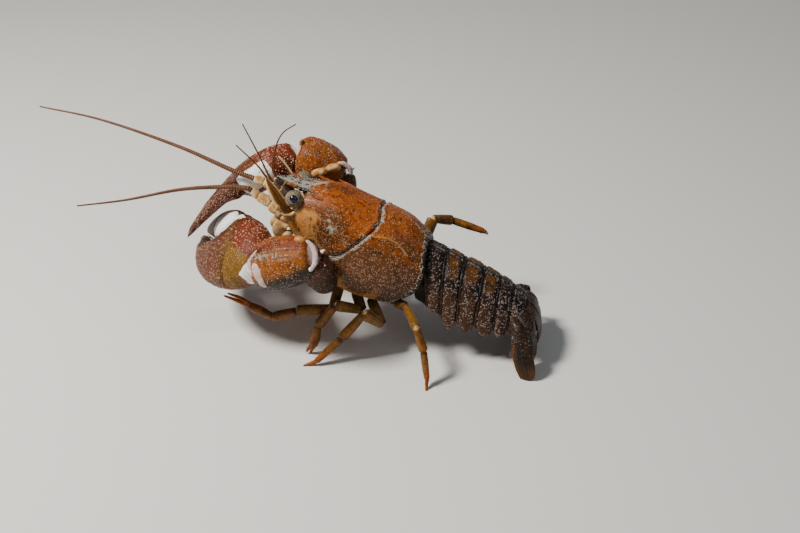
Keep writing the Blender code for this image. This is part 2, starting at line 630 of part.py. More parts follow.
def claw_rows(side, rows, tip, grow=0.0, dome=2.2):
    """Rings of a claw finger from (along, edge, other edge, half depth) rows."""
    wrist, axis, back, inner = claw_frame(side)
    scale = CLAW_SCALES[side]

    def place(along, across):
        share = along / PALM_TIP[0]
        bow = CLAW_BOW * 4 * share * (1 - share)
        return wrist + (axis * along + inner * across + back * bow) * (scale * MM)

    rows = [(along, low, high * THUMB_SIDE_WIDTHS[side], deep) for along, low, high, deep in rows]
    begin, low, high, deep = rows[0]
    middle = (low + high) / 2
    half = (high - low) / 2
    domed = []
    for reach, size in ((1.0, 0.5), (0.6, 0.84)):
        start = begin - (dome + grow) * reach
        domed.append((start, middle - half * size, middle + half * size, deep * size))
    rings = []
    for along, low, high, deep in domed + rows:
        gone = deep * finger_slimming(side, along) / 2
        sizes = ((high - low) / 2 * scale + grow, (deep - gone) * scale + grow)
        centre = place(along, (low + high) / 2) + back * (gone * scale * MM)
        rings.append(oval_ring(centre, inner, back, *sizes, 12, 2.25))
    first = place(begin - dome * 1.18 - grow * 1.1, middle)
    last = place(tip[0] + grow, tip[1])
    return rings, first, last


def palm_shape(side, grow=0.0):
    """Palm and fixed finger."""
    return claw_rows(side, PALM, PALM_TIP, grow)


def dactyl_shape(side, grow=0.0):
    """Movable finger."""
    return claw_rows(side, DACTYL, DACTYL_TIP, grow, 1.6)


def carpus_shape(side, grow=0.0):
    """The wrist block of a claw."""
    joints = [standing(*place) for place in CLAW_ARMS[side][2:]]
    path, halves = limb_path(joints, WRIST_STATIONS)
    return tube(path, halves, claw_frame(side)[3], 14, 2.15, grow, (0.35, 0.2))


def merus_shape(side, grow=0.0):
    """The arm of a claw, deeper than wide."""
    joints = [standing(*place) for place in CLAW_ARMS[side][1:]]
    path, halves = limb_path(joints, ARM_STATIONS)
    hint = (joints[1] - joints[0]).cross(joints[2] - joints[1])
    return tube(path, halves, hint, 12, 2.2, grow, (0.4, 0.3))


def arm_base_shape(side, grow=0.0):
    """Coxa and ischium of a claw."""
    joints = [coxa_place(1, side)] + [standing(*place) for place in CLAW_ARMS[side][:2]]
    path, halves = limb_path(joints, ARM_BASE_STATIONS)
    return tube(path, halves, Vector((1, 0, 0.2)), 10, 2.0, grow, (0.4, 0.4))


def trunk_tube(points, halves, hint, side, sides=8, grow=0.0, count=0, blunt=(0.6, 0.6)):
    """A tube through places in body axes, mirrored to one side."""
    path = [trunk(x, y * side, z) for x, y, z in points]
    if count:
        path = smooth_path(path, count)
        keys = [[(i / (len(halves) - 1), half[axis]) for i, half in enumerate(halves)] for axis in (0, 1)]
        halves = [tuple(smooth_value(key, i / count) for key in keys) for i in range(count + 1)]
    return tube(path, halves, hint, sides, 2.0, grow, blunt)


def jaw_leg_shape(side, grow=0.0):
    """The outer jaw leg, folded forward under the head."""
    return trunk_tube(JAW_LEG, JAW_LEG_HALVES, Vector((0, 1, 0)), side, 8, grow, 8)


def feeler(points, thick, thin, sides, count):
    """A long whip that tapers along a smooth path of world points."""
    path = smooth_path(points, count)
    halves = []
    for i in range(count + 1):
        half = thick + (thin - thick) * (i / count) ** 0.75
        halves.append((half, half))
    return tube(path, halves, Vector((0.15, 0.3, 1)), sides, blunt=(0.6, 1.5))


def eyestalk_shape(side, grow=0.0):
    """The stalk of an eye with its bulb."""
    root = trunk(EYESTALK_ROOT[0], EYESTALK_ROOT[1] * side, EYESTALK_ROOT[2])
    centre = trunk(EYE_CENTRE[0], EYE_CENTRE[1] * side, EYE_CENTRE[2])
    along = (centre - root).normalized()
    path = [centre + along * (place * MM) for place, half in EYESTALK_STATIONS]
    halves = [(half, half) for place, half in EYESTALK_STATIONS]
    return tube(path, halves, Vector((0, 1, 0)), 10, 2.0, grow, (0.4, 0.5))


def eye_shape(side, grow=0.0):
    """The dark cornea, let into the bulb and facing out to the side."""
    centre = trunk(EYE_CENTRE[0], EYE_CENTRE[1] * side, EYE_CENTRE[2])
    look = trunk(EYE_LOOK[0], EYE_LOOK[1] * side, EYE_LOOK[2]) - trunk(0, 0, 0)
    look.normalize()
    path = [centre + look * (reach * MM) for reach in EYE_REACH]
    halves = [(EYE_HALF, EYE_HALF), (EYE_HALF * 0.94, EYE_HALF * 0.94)]
    return tube(path, halves, Vector((1, 0, 0)), 10, 2.0, grow, (0.4, 0.62))


def make_eye(side, word, base_cuts):
    """An eye and its stalk; gives back what they cut from their neighbours."""
    make_node("eye_" + word, [eye_shape(side)], "eye_black")
    make_node("eyestalk_" + word, [eyestalk_shape(side)], "shell_dark", [eye_shape(side, GAP)] + base_cuts)
    return [eyestalk_shape(side, GAP), eye_shape(side, GAP)]


def make_feeler(side, word, eye_cuts):
    """A long feeler with its base and scale; gives back what they cut from their neighbours."""
    flat = Vector((0, 1, 0))
    root_forward, root_left, root_up = FEELER_BASES[side][-1]
    points = [trunk(root_forward, root_left * side, root_up)]
    points += [standing(*place) for place in FEELERS[side]]
    make_node("feeler_" + word, [feeler(points, FEELER_THICK, FEELER_THIN, 6, 18)], "feeler_brown")
    across = (trunk(0, FEELER_SCALE_ACROSS[0] * side, FEELER_SCALE_ACROSS[1]) - trunk(0, 0, 0)).normalized()
    blade = trunk_tube(FEELER_SCALE, FEELER_SCALE_HALVES, across, side, 8, 0, 6)
    blade_cut = trunk_tube(FEELER_SCALE, FEELER_SCALE_HALVES, across, side, 8, GAP, 6)
    make_node("feeler_scale_" + word, [blade], "leg_amber", eye_cuts)
    whip_cut = tube(points[:2], [(FEELER_THICK, FEELER_THICK)] * 2, flat, 8, 2.0, WIDE_GAP)
    base = trunk_tube(FEELER_BASES[side], FEELER_BASE_HALVES, flat, side, 10, 0, 8)
    make_node("feeler_base_" + word, [base], "under_cream", [whip_cut, blade_cut])
    return [trunk_tube(FEELER_BASES[side], FEELER_BASE_HALVES, flat, side, 10, GAP, 8), blade_cut]


def make_small_feelers(side, word):
    """The forked small feelers of one side; gives back what their base cuts from its neighbours."""
    flat = Vector((0, 1, 0))
    shapes = [trunk_tube(SMALL_FEELER_BASE, SMALL_FEELER_BASE_HALVES, flat, side, 8, 0, 6)]
    root = trunk(SMALL_FEELER_ROOT[0], SMALL_FEELER_ROOT[1] * side, SMALL_FEELER_ROOT[2])
    for route in SMALL_FEELERS[side]:
        points = [root] + [trunk(*place) for place in route]
        shapes.append(feeler(points, SMALL_FEELER_THICK, SMALL_FEELER_THIN, 5, 7))
    make_node("small_feelers_" + word, shapes, "feeler_brown")
    return [trunk_tube(SMALL_FEELER_BASE, SMALL_FEELER_BASE_HALVES, flat, side, 8, GAP, 6)]


def make_head():
    """Eyes, feelers, feeler scales and the outer jaw legs, on both sides."""
    cuts = []
    for side, word in SIDES:
        base_cuts = make_small_feelers(side, word)
        eye_cuts = make_eye(side, word, base_cuts)
        cuts += base_cuts + eye_cuts + make_feeler(side, word, eye_cuts)
        make_node("jaw_leg_" + word, [jaw_leg_shape(side)], "under_cream")
        cuts.append(jaw_leg_shape(side, GAP))
    return cuts


def make_abdomen():
    """Six rings, the telson and the four leaves of the tail fan."""
    plate_cuts = []
    telson = fan_plate(TELSON_PATH, TELSON_HALF_WIDTHS, (0, 1, 0))
    plate_cuts.append(fan_plate(TELSON_PATH, TELSON_HALF_WIDTHS, (0, 1, 0), 1, GAP))
    make_node("telson", [telson], "shell_dark")
    floor = floor_block()
    for side, word in SIDES:
        inner = (ENDOPOD_PATH, ENDOPOD_HALF_WIDTHS, (-0.30, -0.93, 0.0), side)
        outer = (EXOPOD_PATHS[side], EXOPOD_HALF_WIDTHS, (-0.93, 0.12, 0.0), side)
        outer_cut = fan_plate(*outer, GAP)
        make_node("tail_inner_" + word, [fan_plate(*inner)], "leg_amber", [floor, outer_cut])
        make_node("tail_outer_" + word, [fan_plate(*outer)], "leg_amber", [floor])
        plate_cuts += [fan_plate(*inner, GAP), outer_cut]
    for index in range(6):
        cuts = [abdomen_shape(index + 1, GAP)] if index < 5 else plate_cuts
        make_node(f"abdomen_{index + 1}", [abdomen_shape(index)], "shell_dark", cuts)


def make_legs():
    """Eight walking legs; each lower leg turns in the end of its upper leg."""
    floor = floor_block()
    cuts = []
    for name in LEGS:
        make_node(name + "_upper", [leg_upper_shape(name)], "leg_amber", [leg_lower_shape(name, GAP)])
        shapes = [leg_lower_shape(name)]
        if int(name[4]) in PINCER_LEGS:
            shapes.append(leg_second_finger(name))
        make_node(name + "_lower", shapes, "leg_amber", [floor])
        cuts.append(leg_upper_shape(name, WIDE_GAP))
    return cuts


def make_claws():
    """Both claws, from the coxa out to the two fingers."""
    cuts = []
    for side, word in SIDES:
        make_node("claw_finger_" + word, [dactyl_shape(side)], "claw_red")
        make_node("claw_palm_" + word, [palm_shape(side)], "claw_red", [dactyl_shape(side, GAP)])
        make_node("claw_wrist_" + word, [carpus_shape(side)], "claw_red", [palm_shape(side, GAP)])
        make_node("claw_arm_" + word, [merus_shape(side)], "claw_red", [carpus_shape(side, GAP)])
        base_cuts = [merus_shape(side, GAP), jaw_leg_shape(side, GAP)]
        make_node("claw_arm_base_" + word, [arm_base_shape(side)], "leg_amber", base_cuts)
        cuts.append(arm_base_shape(side, WIDE_GAP * 2))
        cuts.append(merus_shape(side, WIDE_GAP))
    return cuts


def make_crayfish():
    """Every node of the animal."""
    for thing in list(bpy.data.objects):
        bpy.data.objects.remove(thing)
    head_cuts = make_head()
    leg_cuts = make_legs() + make_claws()
    make_abdomen()
    make_node("sternum", [sternum_shape()], "under_cream", leg_cuts + head_cuts)
    make_carapace(head_cuts + leg_cuts + [sternum_shape(GAP), abdomen_shape(0, GAP)])


make_crayfish()
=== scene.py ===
"""Signal crayfish: every shell plate, claw, leg and feeler with its finish, in the part's frame."""
import math
import random

import bmesh
import bpy
import numpy as np
from mathutils import Matrix, Vector, noise


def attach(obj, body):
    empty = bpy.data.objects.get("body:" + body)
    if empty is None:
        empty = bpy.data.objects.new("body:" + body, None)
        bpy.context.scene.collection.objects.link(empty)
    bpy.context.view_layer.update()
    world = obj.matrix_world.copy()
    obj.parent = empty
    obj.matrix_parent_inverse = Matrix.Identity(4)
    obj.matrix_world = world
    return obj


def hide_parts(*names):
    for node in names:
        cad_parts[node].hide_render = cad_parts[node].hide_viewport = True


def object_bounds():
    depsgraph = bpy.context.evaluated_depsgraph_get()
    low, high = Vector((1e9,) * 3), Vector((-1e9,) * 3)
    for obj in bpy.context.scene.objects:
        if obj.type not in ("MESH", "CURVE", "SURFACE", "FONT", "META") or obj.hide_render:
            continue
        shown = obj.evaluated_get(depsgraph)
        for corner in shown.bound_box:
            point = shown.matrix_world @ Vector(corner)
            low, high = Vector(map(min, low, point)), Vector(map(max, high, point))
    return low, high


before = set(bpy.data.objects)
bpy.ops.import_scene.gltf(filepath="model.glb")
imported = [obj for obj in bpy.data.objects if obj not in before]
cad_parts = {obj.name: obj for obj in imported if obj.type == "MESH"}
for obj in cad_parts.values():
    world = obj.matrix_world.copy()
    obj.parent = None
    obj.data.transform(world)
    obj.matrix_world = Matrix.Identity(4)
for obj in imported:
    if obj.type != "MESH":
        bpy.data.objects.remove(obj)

bl_info = {
    "name": "Signal crayfish",
    "version": (1, 0, 0),
    "blender": (4, 5, 0),
    "location": "View3D > Sidebar > Crayfish",
    "description": "Builds the finished look of a life-size signal crayfish",
    "category": "Add Mesh",
}

# Lengths below are in millimetres. Trunk places are (forward, left, up) from under the rear edge
# of the carapace; standing places are (forward, left, height over the floor).
MM = 0.001
PLAN_FORWARD = 40.338
PLAN_LEFT = -2.492
PITCH = math.radians(23.5)
TRUNK_HEIGHT = 20.1
SIDES = ((1, "left"), (-1, "right"))
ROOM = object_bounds()
MASKS = ("warm", "pale", "dark", "silt", "third", "bare")
SIDEWAYS = Vector((0, 1, 0))
PATH_STEPS = 200  # steps that a tube's path is read in
EVEN_RINGS = 60  # from this many rings on, a tube spaces them evenly

# Carapace
CARAPACE_TOP = ((-4, 19.4), (0, 20.4), (3, 21.9), (8.5, 23.8), (18, 24.0), (30, 23.8), (36, 22.6), (42, 19.6))
CARAPACE_HALF_WIDTH = ((-4, 11.2), (0, 12.0), (8, 13.0), (17, 13.2), (24, 12.6), (30, 11.3), (36, 9.8), (43, 8.3))
CARAPACE_LOWER_EDGE = ((-4, 3.5), (0, 1.0), (4, -1.4), (10, -2.8), (17, -3.6), (24, -2.6), (29, 3.6), (36, 5.0),
                       (43, 5.6))
REAR_EDGE = ((0, 0.6), (0.3, -1.2), (0.55, -3.0), (0.8, -2.4), (1, 1.2))
NECK_GROOVE = ((0, 18.4), (0.18, 17.0), (0.36, 18.6), (0.55, 22.0), (0.78, 26.6), (1, 28.8))
FRONT_EDGE = ((0, 41.0), (0.4, 41.6), (0.7, 42.8), (0.88, 42.0), (1, 39.6))
BRANCH_LINE = ((1, 0.42), (6, 0.35), (12, 0.31), (18, 0.36))
# The carapace's arch: height of its widest line as a share, the turn below it, width left at the edge
ARCH_MIDDLE = 0.42
ARCH_BELOW = math.radians(50)
ARCH_TUCK = 0.84
CARAPACE_CORE_FLOOR = 1.8
CARAPACE_CORE_HALF_WIDTH = 8.4
ROSTRUM = ((34, 5.6, 20.4, 2.4), (38, 4.9, 20.0, 1.8), (42, 3.8, 19.3, 1.5), (46, 3.1, 18.5, 1.2),
           (48, 2.3, 18.1, 1.0), (50, 1.2, 17.75, 0.7), (51.8, 0.4, 17.5, 0.3))
ROSTRUM_START = 33.0
ROSTRUM_REACH = 18.9
BACK_SPINES = (((44.8, 2.6, 18.7), (49.0, 3.5, 18.7), 0.75), ((35.4, 5.9, 20.2), (40.6, 6.1, 20.6), 0.9),
               ((29.0, 6.4, 21.6), (34.0, 6.9, 22.0), 0.9))
STERNUM = ((0.5, -0.95, 3.4, 1.6), (4, -0.95, 4.6, 2.2), (14, -0.95, 5.0, 2.4), (26, -0.95, 4.6, 2.2),
           (32, 0.2, 3.9, 2.4), (37, 2.8, 3.8, 2.8), (41, 5.0, 3.0, 2.2))
COXA_SPACING = 5.5
REAR_COXA = 3.0

# Abdomen, standing: forward, back line height, forward of the lower edge, its height, half width
ABDOMEN_STATIONS = (
    (-6.6, 38.0, -8.4, 20.0, 10.2),
    (-13.2, 35.2, -12.8, 18.0, 10.9),
    (-19.0, 32.4, -18.2, 16.4, 11.3),
    (-25.4, 29.5, -24.0, 15.2, 11.2),
    (-30.8, 26.4, -30.0, 14.2, 10.7),
    (-35.2, 23.6, -34.4, 13.4, 9.9),
    (-40.0, 20.2, -38.2, 13.6, 8.2),
)
PLEURON_DROP = (0.6, 4.4, 3.6, 3.6, 3.2, 2.2)
PLEURON_THICKNESS = 1.5
TELSON_PATH = ((-38.9, 0, 19.2), (-42.2, 0, 17.2), (-44.4, 0, 13.0), (-45.0, 0, 8.0), (-44.5, 0, 4.2))
TELSON_HALF_WIDTHS = (4.4, 5.4, 5.6, 5.2, 3.6)
ENDOPOD_PATH = ((-38.0, 6.2, 14.6), (-41.4, 8.6, 13.0), (-43.1, 10.2, 8.6), (-43.5, 10.8, 4.0), (-42.9, 11.0, 0.9))
ENDOPOD_HALF_WIDTHS = (1.7, 3.3, 4.2, 4.1, 2.4)
EXOPOD_PATHS = {
    1: ((-37.4, 9.2, 13.7), (-39.6, 13.2, 11.8), (-40.9, 15.4, 7.4), (-42.2, 16.6, 3.0), (-43.0, 17.0, -0.5)),
    -1: ((-37.0, 9.0, 14.4), (-37.4, 12.4, 16.6), (-37.6, 15.2, 11.5), (-38.4, 16.8, 5.0), (-39.8, 17.6, -0.5))}
EXOPOD_HALF_WIDTHS = (1.7, 2.9, 3.4, 3.2, 2.2)
FAN_HALF_THICKNESS = 0.55
FAN_INNER_ROOT = ((-37.4, 5.0, 17.4), (-41.0, 7.2, 15.8), (-42.8, 9.4, 11.6))
FAN_OUTER_ROOT = ((-36.5, 6.6, 15.6), (-38.8, 9.6, 13.6), (-41.0, 12.0, 10.4))

# Walking legs, standing: coxa end, ischium end, knee, carpus end, propodus end, tip
LEGS = {
    "leg_2_left": ((19.9, 7.2, 23.3), (21.6, 11.2, 16.2), (33.4, 12.0, 14.35), (41.2, 13.0, 11.7),
                   (49.4, 12.4, 15.0), (58.0, 12.0, 17.6)),
    "leg_3_left": ((14.8, 7.2, 21.1), (12.0, 10.4, 16.2), (20.0, 14.0, 19.5), (25.6, 15.4, 12.0),
                   (27.6, 15.2, 3.2), (29.0, 14.6, -0.3)),
    "leg_4_left": ((9.8, 7.2, 18.9), (5.2, 11.6, 12.2), (10.4, 15.0, 18.0), (17.3, 17.5, 9.5),
                   (25.4, 21.0, 1.5), (29.6, 22.0, -0.1)),
    "leg_5_left": ((1.4, 7.6, 18.5), (-2.4, 10.6, 19.4), (-7.6, 21.6, 18.9), (-10.1, 23.0, 11.8),
                   (-11.7, 25.5, 2.8), (-11.9, 28.0, -0.3)),
    "leg_2_right": ((19.9, -7.2, 23.3), (21.4, -12.0, 18.4), (30.0, -20.0, 21.4), (36.0, -23.4, 14.6),
                    (39.6, -25.2, 6.4), (41.6, -26.4, -0.2)),
    "leg_3_right": ((14.8, -7.2, 21.1), (14.2, -12.0, 17.6), (18.6, -23.2, 21.6), (22.4, -28.0, 14.4),
                    (25.6, -30.6, 3.6), (27.0, -31.6, -0.3)),
    "leg_4_right": ((9.8, -7.2, 18.9), (7.4, -11.8, 16.4), (5.6, -23.0, 20.8), (7.0, -28.4, 14.0),
                    (8.6, -31.0, 3.4), (9.6, -32.2, -0.3)),
    "leg_5_right": ((4.7, -7.2, 16.7), (-1.6, -12.4, 22.0), (-6.3, -20.0, 35.0), (-12.1, -25.0, 32.2),
                    (-23.1, -25.2, 28.9), (-24.3, -28.0, 26.2)),
}
LEG_HALF = 1.75
PINCER_LEGS = (2, 3)

# Claws, standing: coxa end, ischium end, elbow, wrist; then rows measured from the wrist
CLAW_ARMS = {1: ((25.4, 9.0, 25.7), (22.6, 12.8, 25.6), (26.8, 20.0, 40.5), (44.1, 18.0, 33.4)),
             -1: ((25.4, -9.0, 25.7), (23.6, -16.4, 28.4), (26.9, -24.0, 47.6), (40.9, -22.0, 54.4))}
CLAW_AXES = {1: (0.60, -0.76, -0.25), -1: (0.740, 0.346, -0.578)}
CLAW_BACKS = {1: (0.716, 0.287, 0.648), -1: (0.64, -0.12, 0.76)}
CLAW_SCALES = {1: 1.0, -1: 0.94}
CLAW_BOW = 2.7
THUMB_SIDE_WIDTHS = {1: 1.0, -1: 0.79}
SLIM_START = 20
SLIM_END = 30
SLIM_SHARE = 0.75
# Pale strips at the joints, standing: half width, half thickness and path; the knobs among them
JOINT_RIMS = {
    1: ((1.45, 0.6, ((44.7, 22.0, 38.6), (44.1, 23.6, 36.8), (43.0, 24.8, 34.6))),
        (1.6, 0.7, ((42.6, 23.9, 39.2), (41.4, 25.4, 37.2), (40.2, 26.0, 35.0), (38.8, 25.8, 31.8))),
        (0.55, 0.5, ((42.0, 20.9, 42.0), (43.6, 21.8, 40.2), (44.6, 22.6, 38.2))),
        (0.9, 0.7, ((27.2, 19.6, 46.2), (25.2, 20.2, 44.9), (23.8, 21.6, 42.6), (23.8, 23.2, 40.4),
                    (25.0, 25.4, 38.9))),
        (1.0, 0.9, ((30.6, 19.7, 46.3), (29.0, 20.0, 46.6), (27.2, 19.6, 46.1)))),
    -1: ((1.5, 1.5, ((33.8, -14.8, 50.6), (31.4, -15.8, 51.3), (28.6, -16.8, 51.6))),
         (1.4, 1.3, ((29.6, -16.4, 51.9), (27.0, -17.8, 52.3), (24.6, -19.2, 52.2))),
         (0.9, 0.7, ((26.0, -19.0, 53.2), (23.8, -20.2, 52.6), (22.0, -20.8, 50.8), (21.4, -20.6, 48.6)))),
}
KNOB_RIMS = {1: (4,), -1: (0, 1)}
PALM = ((1.0, -5.6, 7.8, 4.8), (4.5, -8.6, 11.2, 6.0), (9.5, -10.9, 12.9, 6.5), (15, -12.1, 13.2, 6.5),
        (19.5, -12.5, 12.6, 6.2), (21.8, -12.5, 9.6, 5.7), (23.2, -12.3, 4.0, 5.3), (26.5, -11.9, 0.6, 4.8),
        (32, -10.6, -0.3, 4.1), (38, -8.5, -0.6, 3.3), (43.5, -5.9, -0.6, 2.5), (47.5, -3.2, -0.5, 1.6),
        (49.6, -1.5, -0.9, 0.4))
DACTYL = ((21.0, 3.8, 9.4, 1.6), (22.6, 2.6, 10.8, 3.0), (25, 2.0, 13.0, 4.0), (30, 1.2, 12.5, 3.9),
          (36, 0.8, 10.7, 3.3), (42, 0.7, 7.6, 2.5), (46.5, 0.6, 4.1, 1.6), (49.2, 0.8, 1.6, 0.4))
CLAW_REACH = 50.0
CLAW_ROUNDING = 2.25
PALM_CREASE = ((-10, 6.8), (-8.9, 7.1), (-4.6, 8.1), (-1.6, 9.4), (3.5, 10.0), (9.0, 13.5), (13, 16.5))
PALM_PATCH_EDGE = ((3, 18.8), (5, 17.6), (9, 16.0), (13, 14.6))
WRIST_KEYS = ((0, 4.8, 4.6), (0.14, 6.3, 5.9), (0.36, 7.7, 7.2), (0.63, 8.3, 7.6), (0.85, 7.6, 7.0), (1, 6.3, 5.9))
WRIST_SPINES = ((0.62, 0.3, 3.4), (0.82, 0.9, 3.0), (0.9, -0.5, 2.4))
ARM_KEYS = ((0, 3.2, 3.6), (0.2, 3.9, 4.4), (0.5, 4.5, 5.2), (0.8, 5.0, 5.9), (1, 4.8, 5.6))
ARM_SPINES = ((0.72, 0.4, 2.6), (0.9, 1.2, 3.2), (0.9, -0.2, 2.8), (0.5, 0.8, 1.8))

# Head, in trunk places
EYE_STALK_ROOT = (40.6, 3.2, 14.6)
EYE_CENTRE = (44.2, 6.75, 16.6)
EYE_STALK = 1.9
EYE_BULB = 2.75
CORNEA = 1.62
CORNEA_LOOK = (-0.05, 0.84, 0.54)
FEELER_BASES = {1: ((41.5, 5.6, 9.2), (45.6, 6.6, 10.4), (50.2, 6.4, 11.4), (54.6, 6.0, 11.8), (57.2, 5.9, 12.2)),
                -1: ((41.5, 5.6, 9.2), (45.8, 6.6, 9.7), (50.6, 6.6, 9.9), (55.6, 6.1, 9.6), (58.8, 5.9, 9.4))}
FEELER_SCALE = ((43.4, 8.0, 11.6), (47.5, 8.6, 14.6), (51.5, 8.3, 17.6), (54.6, 7.6, 19.8))
SMALL_FEELER_BASE = ((41.5, 1.7, 12.4), (45.5, 1.8, 13.6), (49.5, 1.7, 14.6), (52.4, 1.6, 15.6))
SMALL_FEELERS = {
    1: (((54.6, 1.8, 17.6), (59.2, 2.2, 22.5), (67.8, 3.2, 31.1)),
        ((54.8, 2.2, 16.8), (58.6, 3.0, 19.7), (67.1, 5.0, 24.4))),
    -1: (((54.4, -1.8, 18.0), (56.2, -2.4, 25.7), (55.9, -3.0, 30.8), (53.3, -3.6, 35.3)),
         ((53.6, -1.1, 18.0), (54.8, -1.0, 21.4), (55.4, -1.0, 24.7)))}
FEELERS = {1: ((48.6, 6.2, 55.1), (56.5, 7.0, 55.3), (69.6, 10.0, 54.7), (86.1, 15.0, 52.1), (100.0, 20.0, 51.4)),
           -1: ((57.2, -6.5, 54.0), (76.0, -9.5, 59.6), (104.2, -13.0, 65.6), (125.9, -15.0, 67.7))}
FEELER_THICK = 0.95
FEELER_THIN = 0.26
JAW_LEG = ((27, 3.3, -3.2), (35, 3.6, -2.4), (41.0, 3.8, 0.2), (44.6, 3.7, 4.2), (45.4, 3.3, 6.4))
MOUTH_BAR = ((43.0, 0.3, 8.3), (44.4, 2.4, 8.2), (44.0, 4.6, 7.4), (42.8, 6.6, 6.8))
MOUTH_KNOBS = ((45.2, 4.6, 8.0, 1.0), (45.0, 3.0, 6.0, 1.1), (44.2, 5.6, 5.2, 0.9))
MOUTH_PLATES = ((1.5, ((46.0, 5.6, 7.6), (46.9, 5.6, 5.4), (46.4, 5.4, 3.0))),
                (2.3, ((42.6, 6.6, 8.6), (44.3, 7.0, 6.4), (44.6, 6.8, 3.6), (43.0, 6.4, 0.6))),
                (1.3, ((40.6, 7.0, 5.8), (41.6, 7.2, 2.8), (40.8, 6.8, 0.4))))
# Knob and curved rim below each eye, standing: half width and path
CHEEK_RIMS = ((1.05, ((38.6, 10.4, 51.3), (37.4, 10.6, 51.7))),
              (0.5, ((37.4, 10.5, 50.2), (36.2, 10.4, 49.0), (34.6, 9.0, 48.5), (33.3, 8.0, 49.2))))

# Camera, fitted to the photograph's view
CAMERA_TURN = math.radians(10)
CAMERA_TILT = math.radians(32)
CAMERA_DISTANCE = 375
CAMERA_SHIFT = (-1.4, 23.5)
CAMERA_LENS = 50

# Lamps: (right, ahead, up) from the middle as the camera sees it, distance in metres, watts, size, colour
LAMPS = (("key_light", (-0.72, -0.3, 1.0), 0.55, 5.0, 0.12, (1.0, 0.96, 0.90)),
         ("fill_light", (0.8, -0.6, 0.5), 0.8, 0.5, 0.4, (0.90, 0.95, 1.0)),
         ("rim_light", (0.35, 0.8, 0.6), 0.7, 0.12, 0.1, (1.0, 0.98, 0.95)))
FLOOR_COLOUR = (0.80, 0.785, 0.75, 1)
SKY_COLOUR = (0.80, 0.84, 0.90, 1)
SKY_STRENGTH = 0.15

# Shell finishes: main, warm, third, pale, dark and fleck colour; then fleck size in millimetres, share of
# flecks, mottling, roughness, bump depth in millimetres and, where it isn't the usual one, the coat
SHELL_COLOURS = ("Main", "Warm", "Third", "Pale", "Dark", "Fleck")
SHELL_FINISHES = {
    "carapace_finish": ("rust orange gold silt umber tan", 0.7, 0.65, 0.75, 0.3, 0.15),
    "rostrum_finish": ("rust orange umber silt black silt", 0.5, 0.8, 0.5, 0.4, 0.16),
    "abdomen_finish": ("umber amber rust silt black grey", 0.8, 0.75, 0.5, 0.42, 0.2, 0.02),
    "claw_finish": ("plum claw_red olive signal umber tan", 0.7, 0.5, 0.4, 0.42, 0.16, 0.0),
    "wrist_finish": ("olive orange claw_red lilac umber tan", 0.5, 0.55, 0.6, 0.36, 0.2),
    "rim_finish": ("lilac cream gold signal plum tan", 0.5, 0.2, 0.2, 0.3, 0.06),
    "leg_finish": ("olive orange rust cream umber tan", 0.4, 0.35, 0.5, 0.3, 0.06),
    "fan_finish": ("umber amber rust tan black grey", 0.5, 0.6, 0.3, 0.4, 0.14, 0.06),
    "feeler_finish": ("rust orange tan cream umber tan", 0.3, 0.2, 0.3, 0.35, 0.03),
    "base_finish": ("cream gold rust signal olive rust", 0.5, 0.2, 0.25, 0.3, 0.06),
    "stalk_finish": ("olive silt umber silt black silt", 0.4, 0.8, 0.5, 0.4, 0.06),
}
# Plain finishes: two colours and the roughness, then coat, grain size and share of the second colour
PLAIN_FINISHES = {
    "pimple_finish": ("lilac", "tan", 0.35, 0.15, 1.5, 1.0),
    "granule_finish": ("silt", "grey", 0.6, 0.0, 1.2, 0.9),
    "speck_finish": ("grey", "plum", 0.55, 0.0, 1.2, 0.9),
    "fleck_finish": ("tan", "rust", 0.4, 0.0, 1.5, 0.35),
    "tooth_finish": ("cream", "tan", 0.35, 0.2),
    "bristle_finish": ("tan", "rust", 0.5),
    "cornea_finish": ("eye", "eye_sheen", 0.08, 0.0, 0.2, 0.3),
}


def size_property(name, description, default):
    """A size of the surface detail."""
    return bpy.props.FloatProperty(name=name, description=description, default=default)


def colour_property(name, description, *default):
    """A colour of the shell."""
    return bpy.props.FloatVectorProperty(name=name, description=description, subtype="COLOR", default=default)


class CrayfishSizes(bpy.types.PropertyGroup):
    """How fine the surface detail is."""
    groove_depth: size_property("Neck groove depth", "Depth of the neck groove in millimetres", 0.8)
    groove_width: size_property("Neck groove width", "Half width of the neck groove in millimetres", 0.45)
    pimple_radius: size_property("Claw pimple radius", "Radius of a claw pimple in millimetres", 0.19)
    bristle_length: size_property("Bristle length", "Length of a usual bristle in millimetres", 1.5)
    bristle_radius: size_property("Bristle radius", "Radius of that bristle's root in millimetres", 0.05)
    feeler_rings: bpy.props.IntProperty(
        name="Feeler rings", description="Number of rings along a long feeler", default=110)


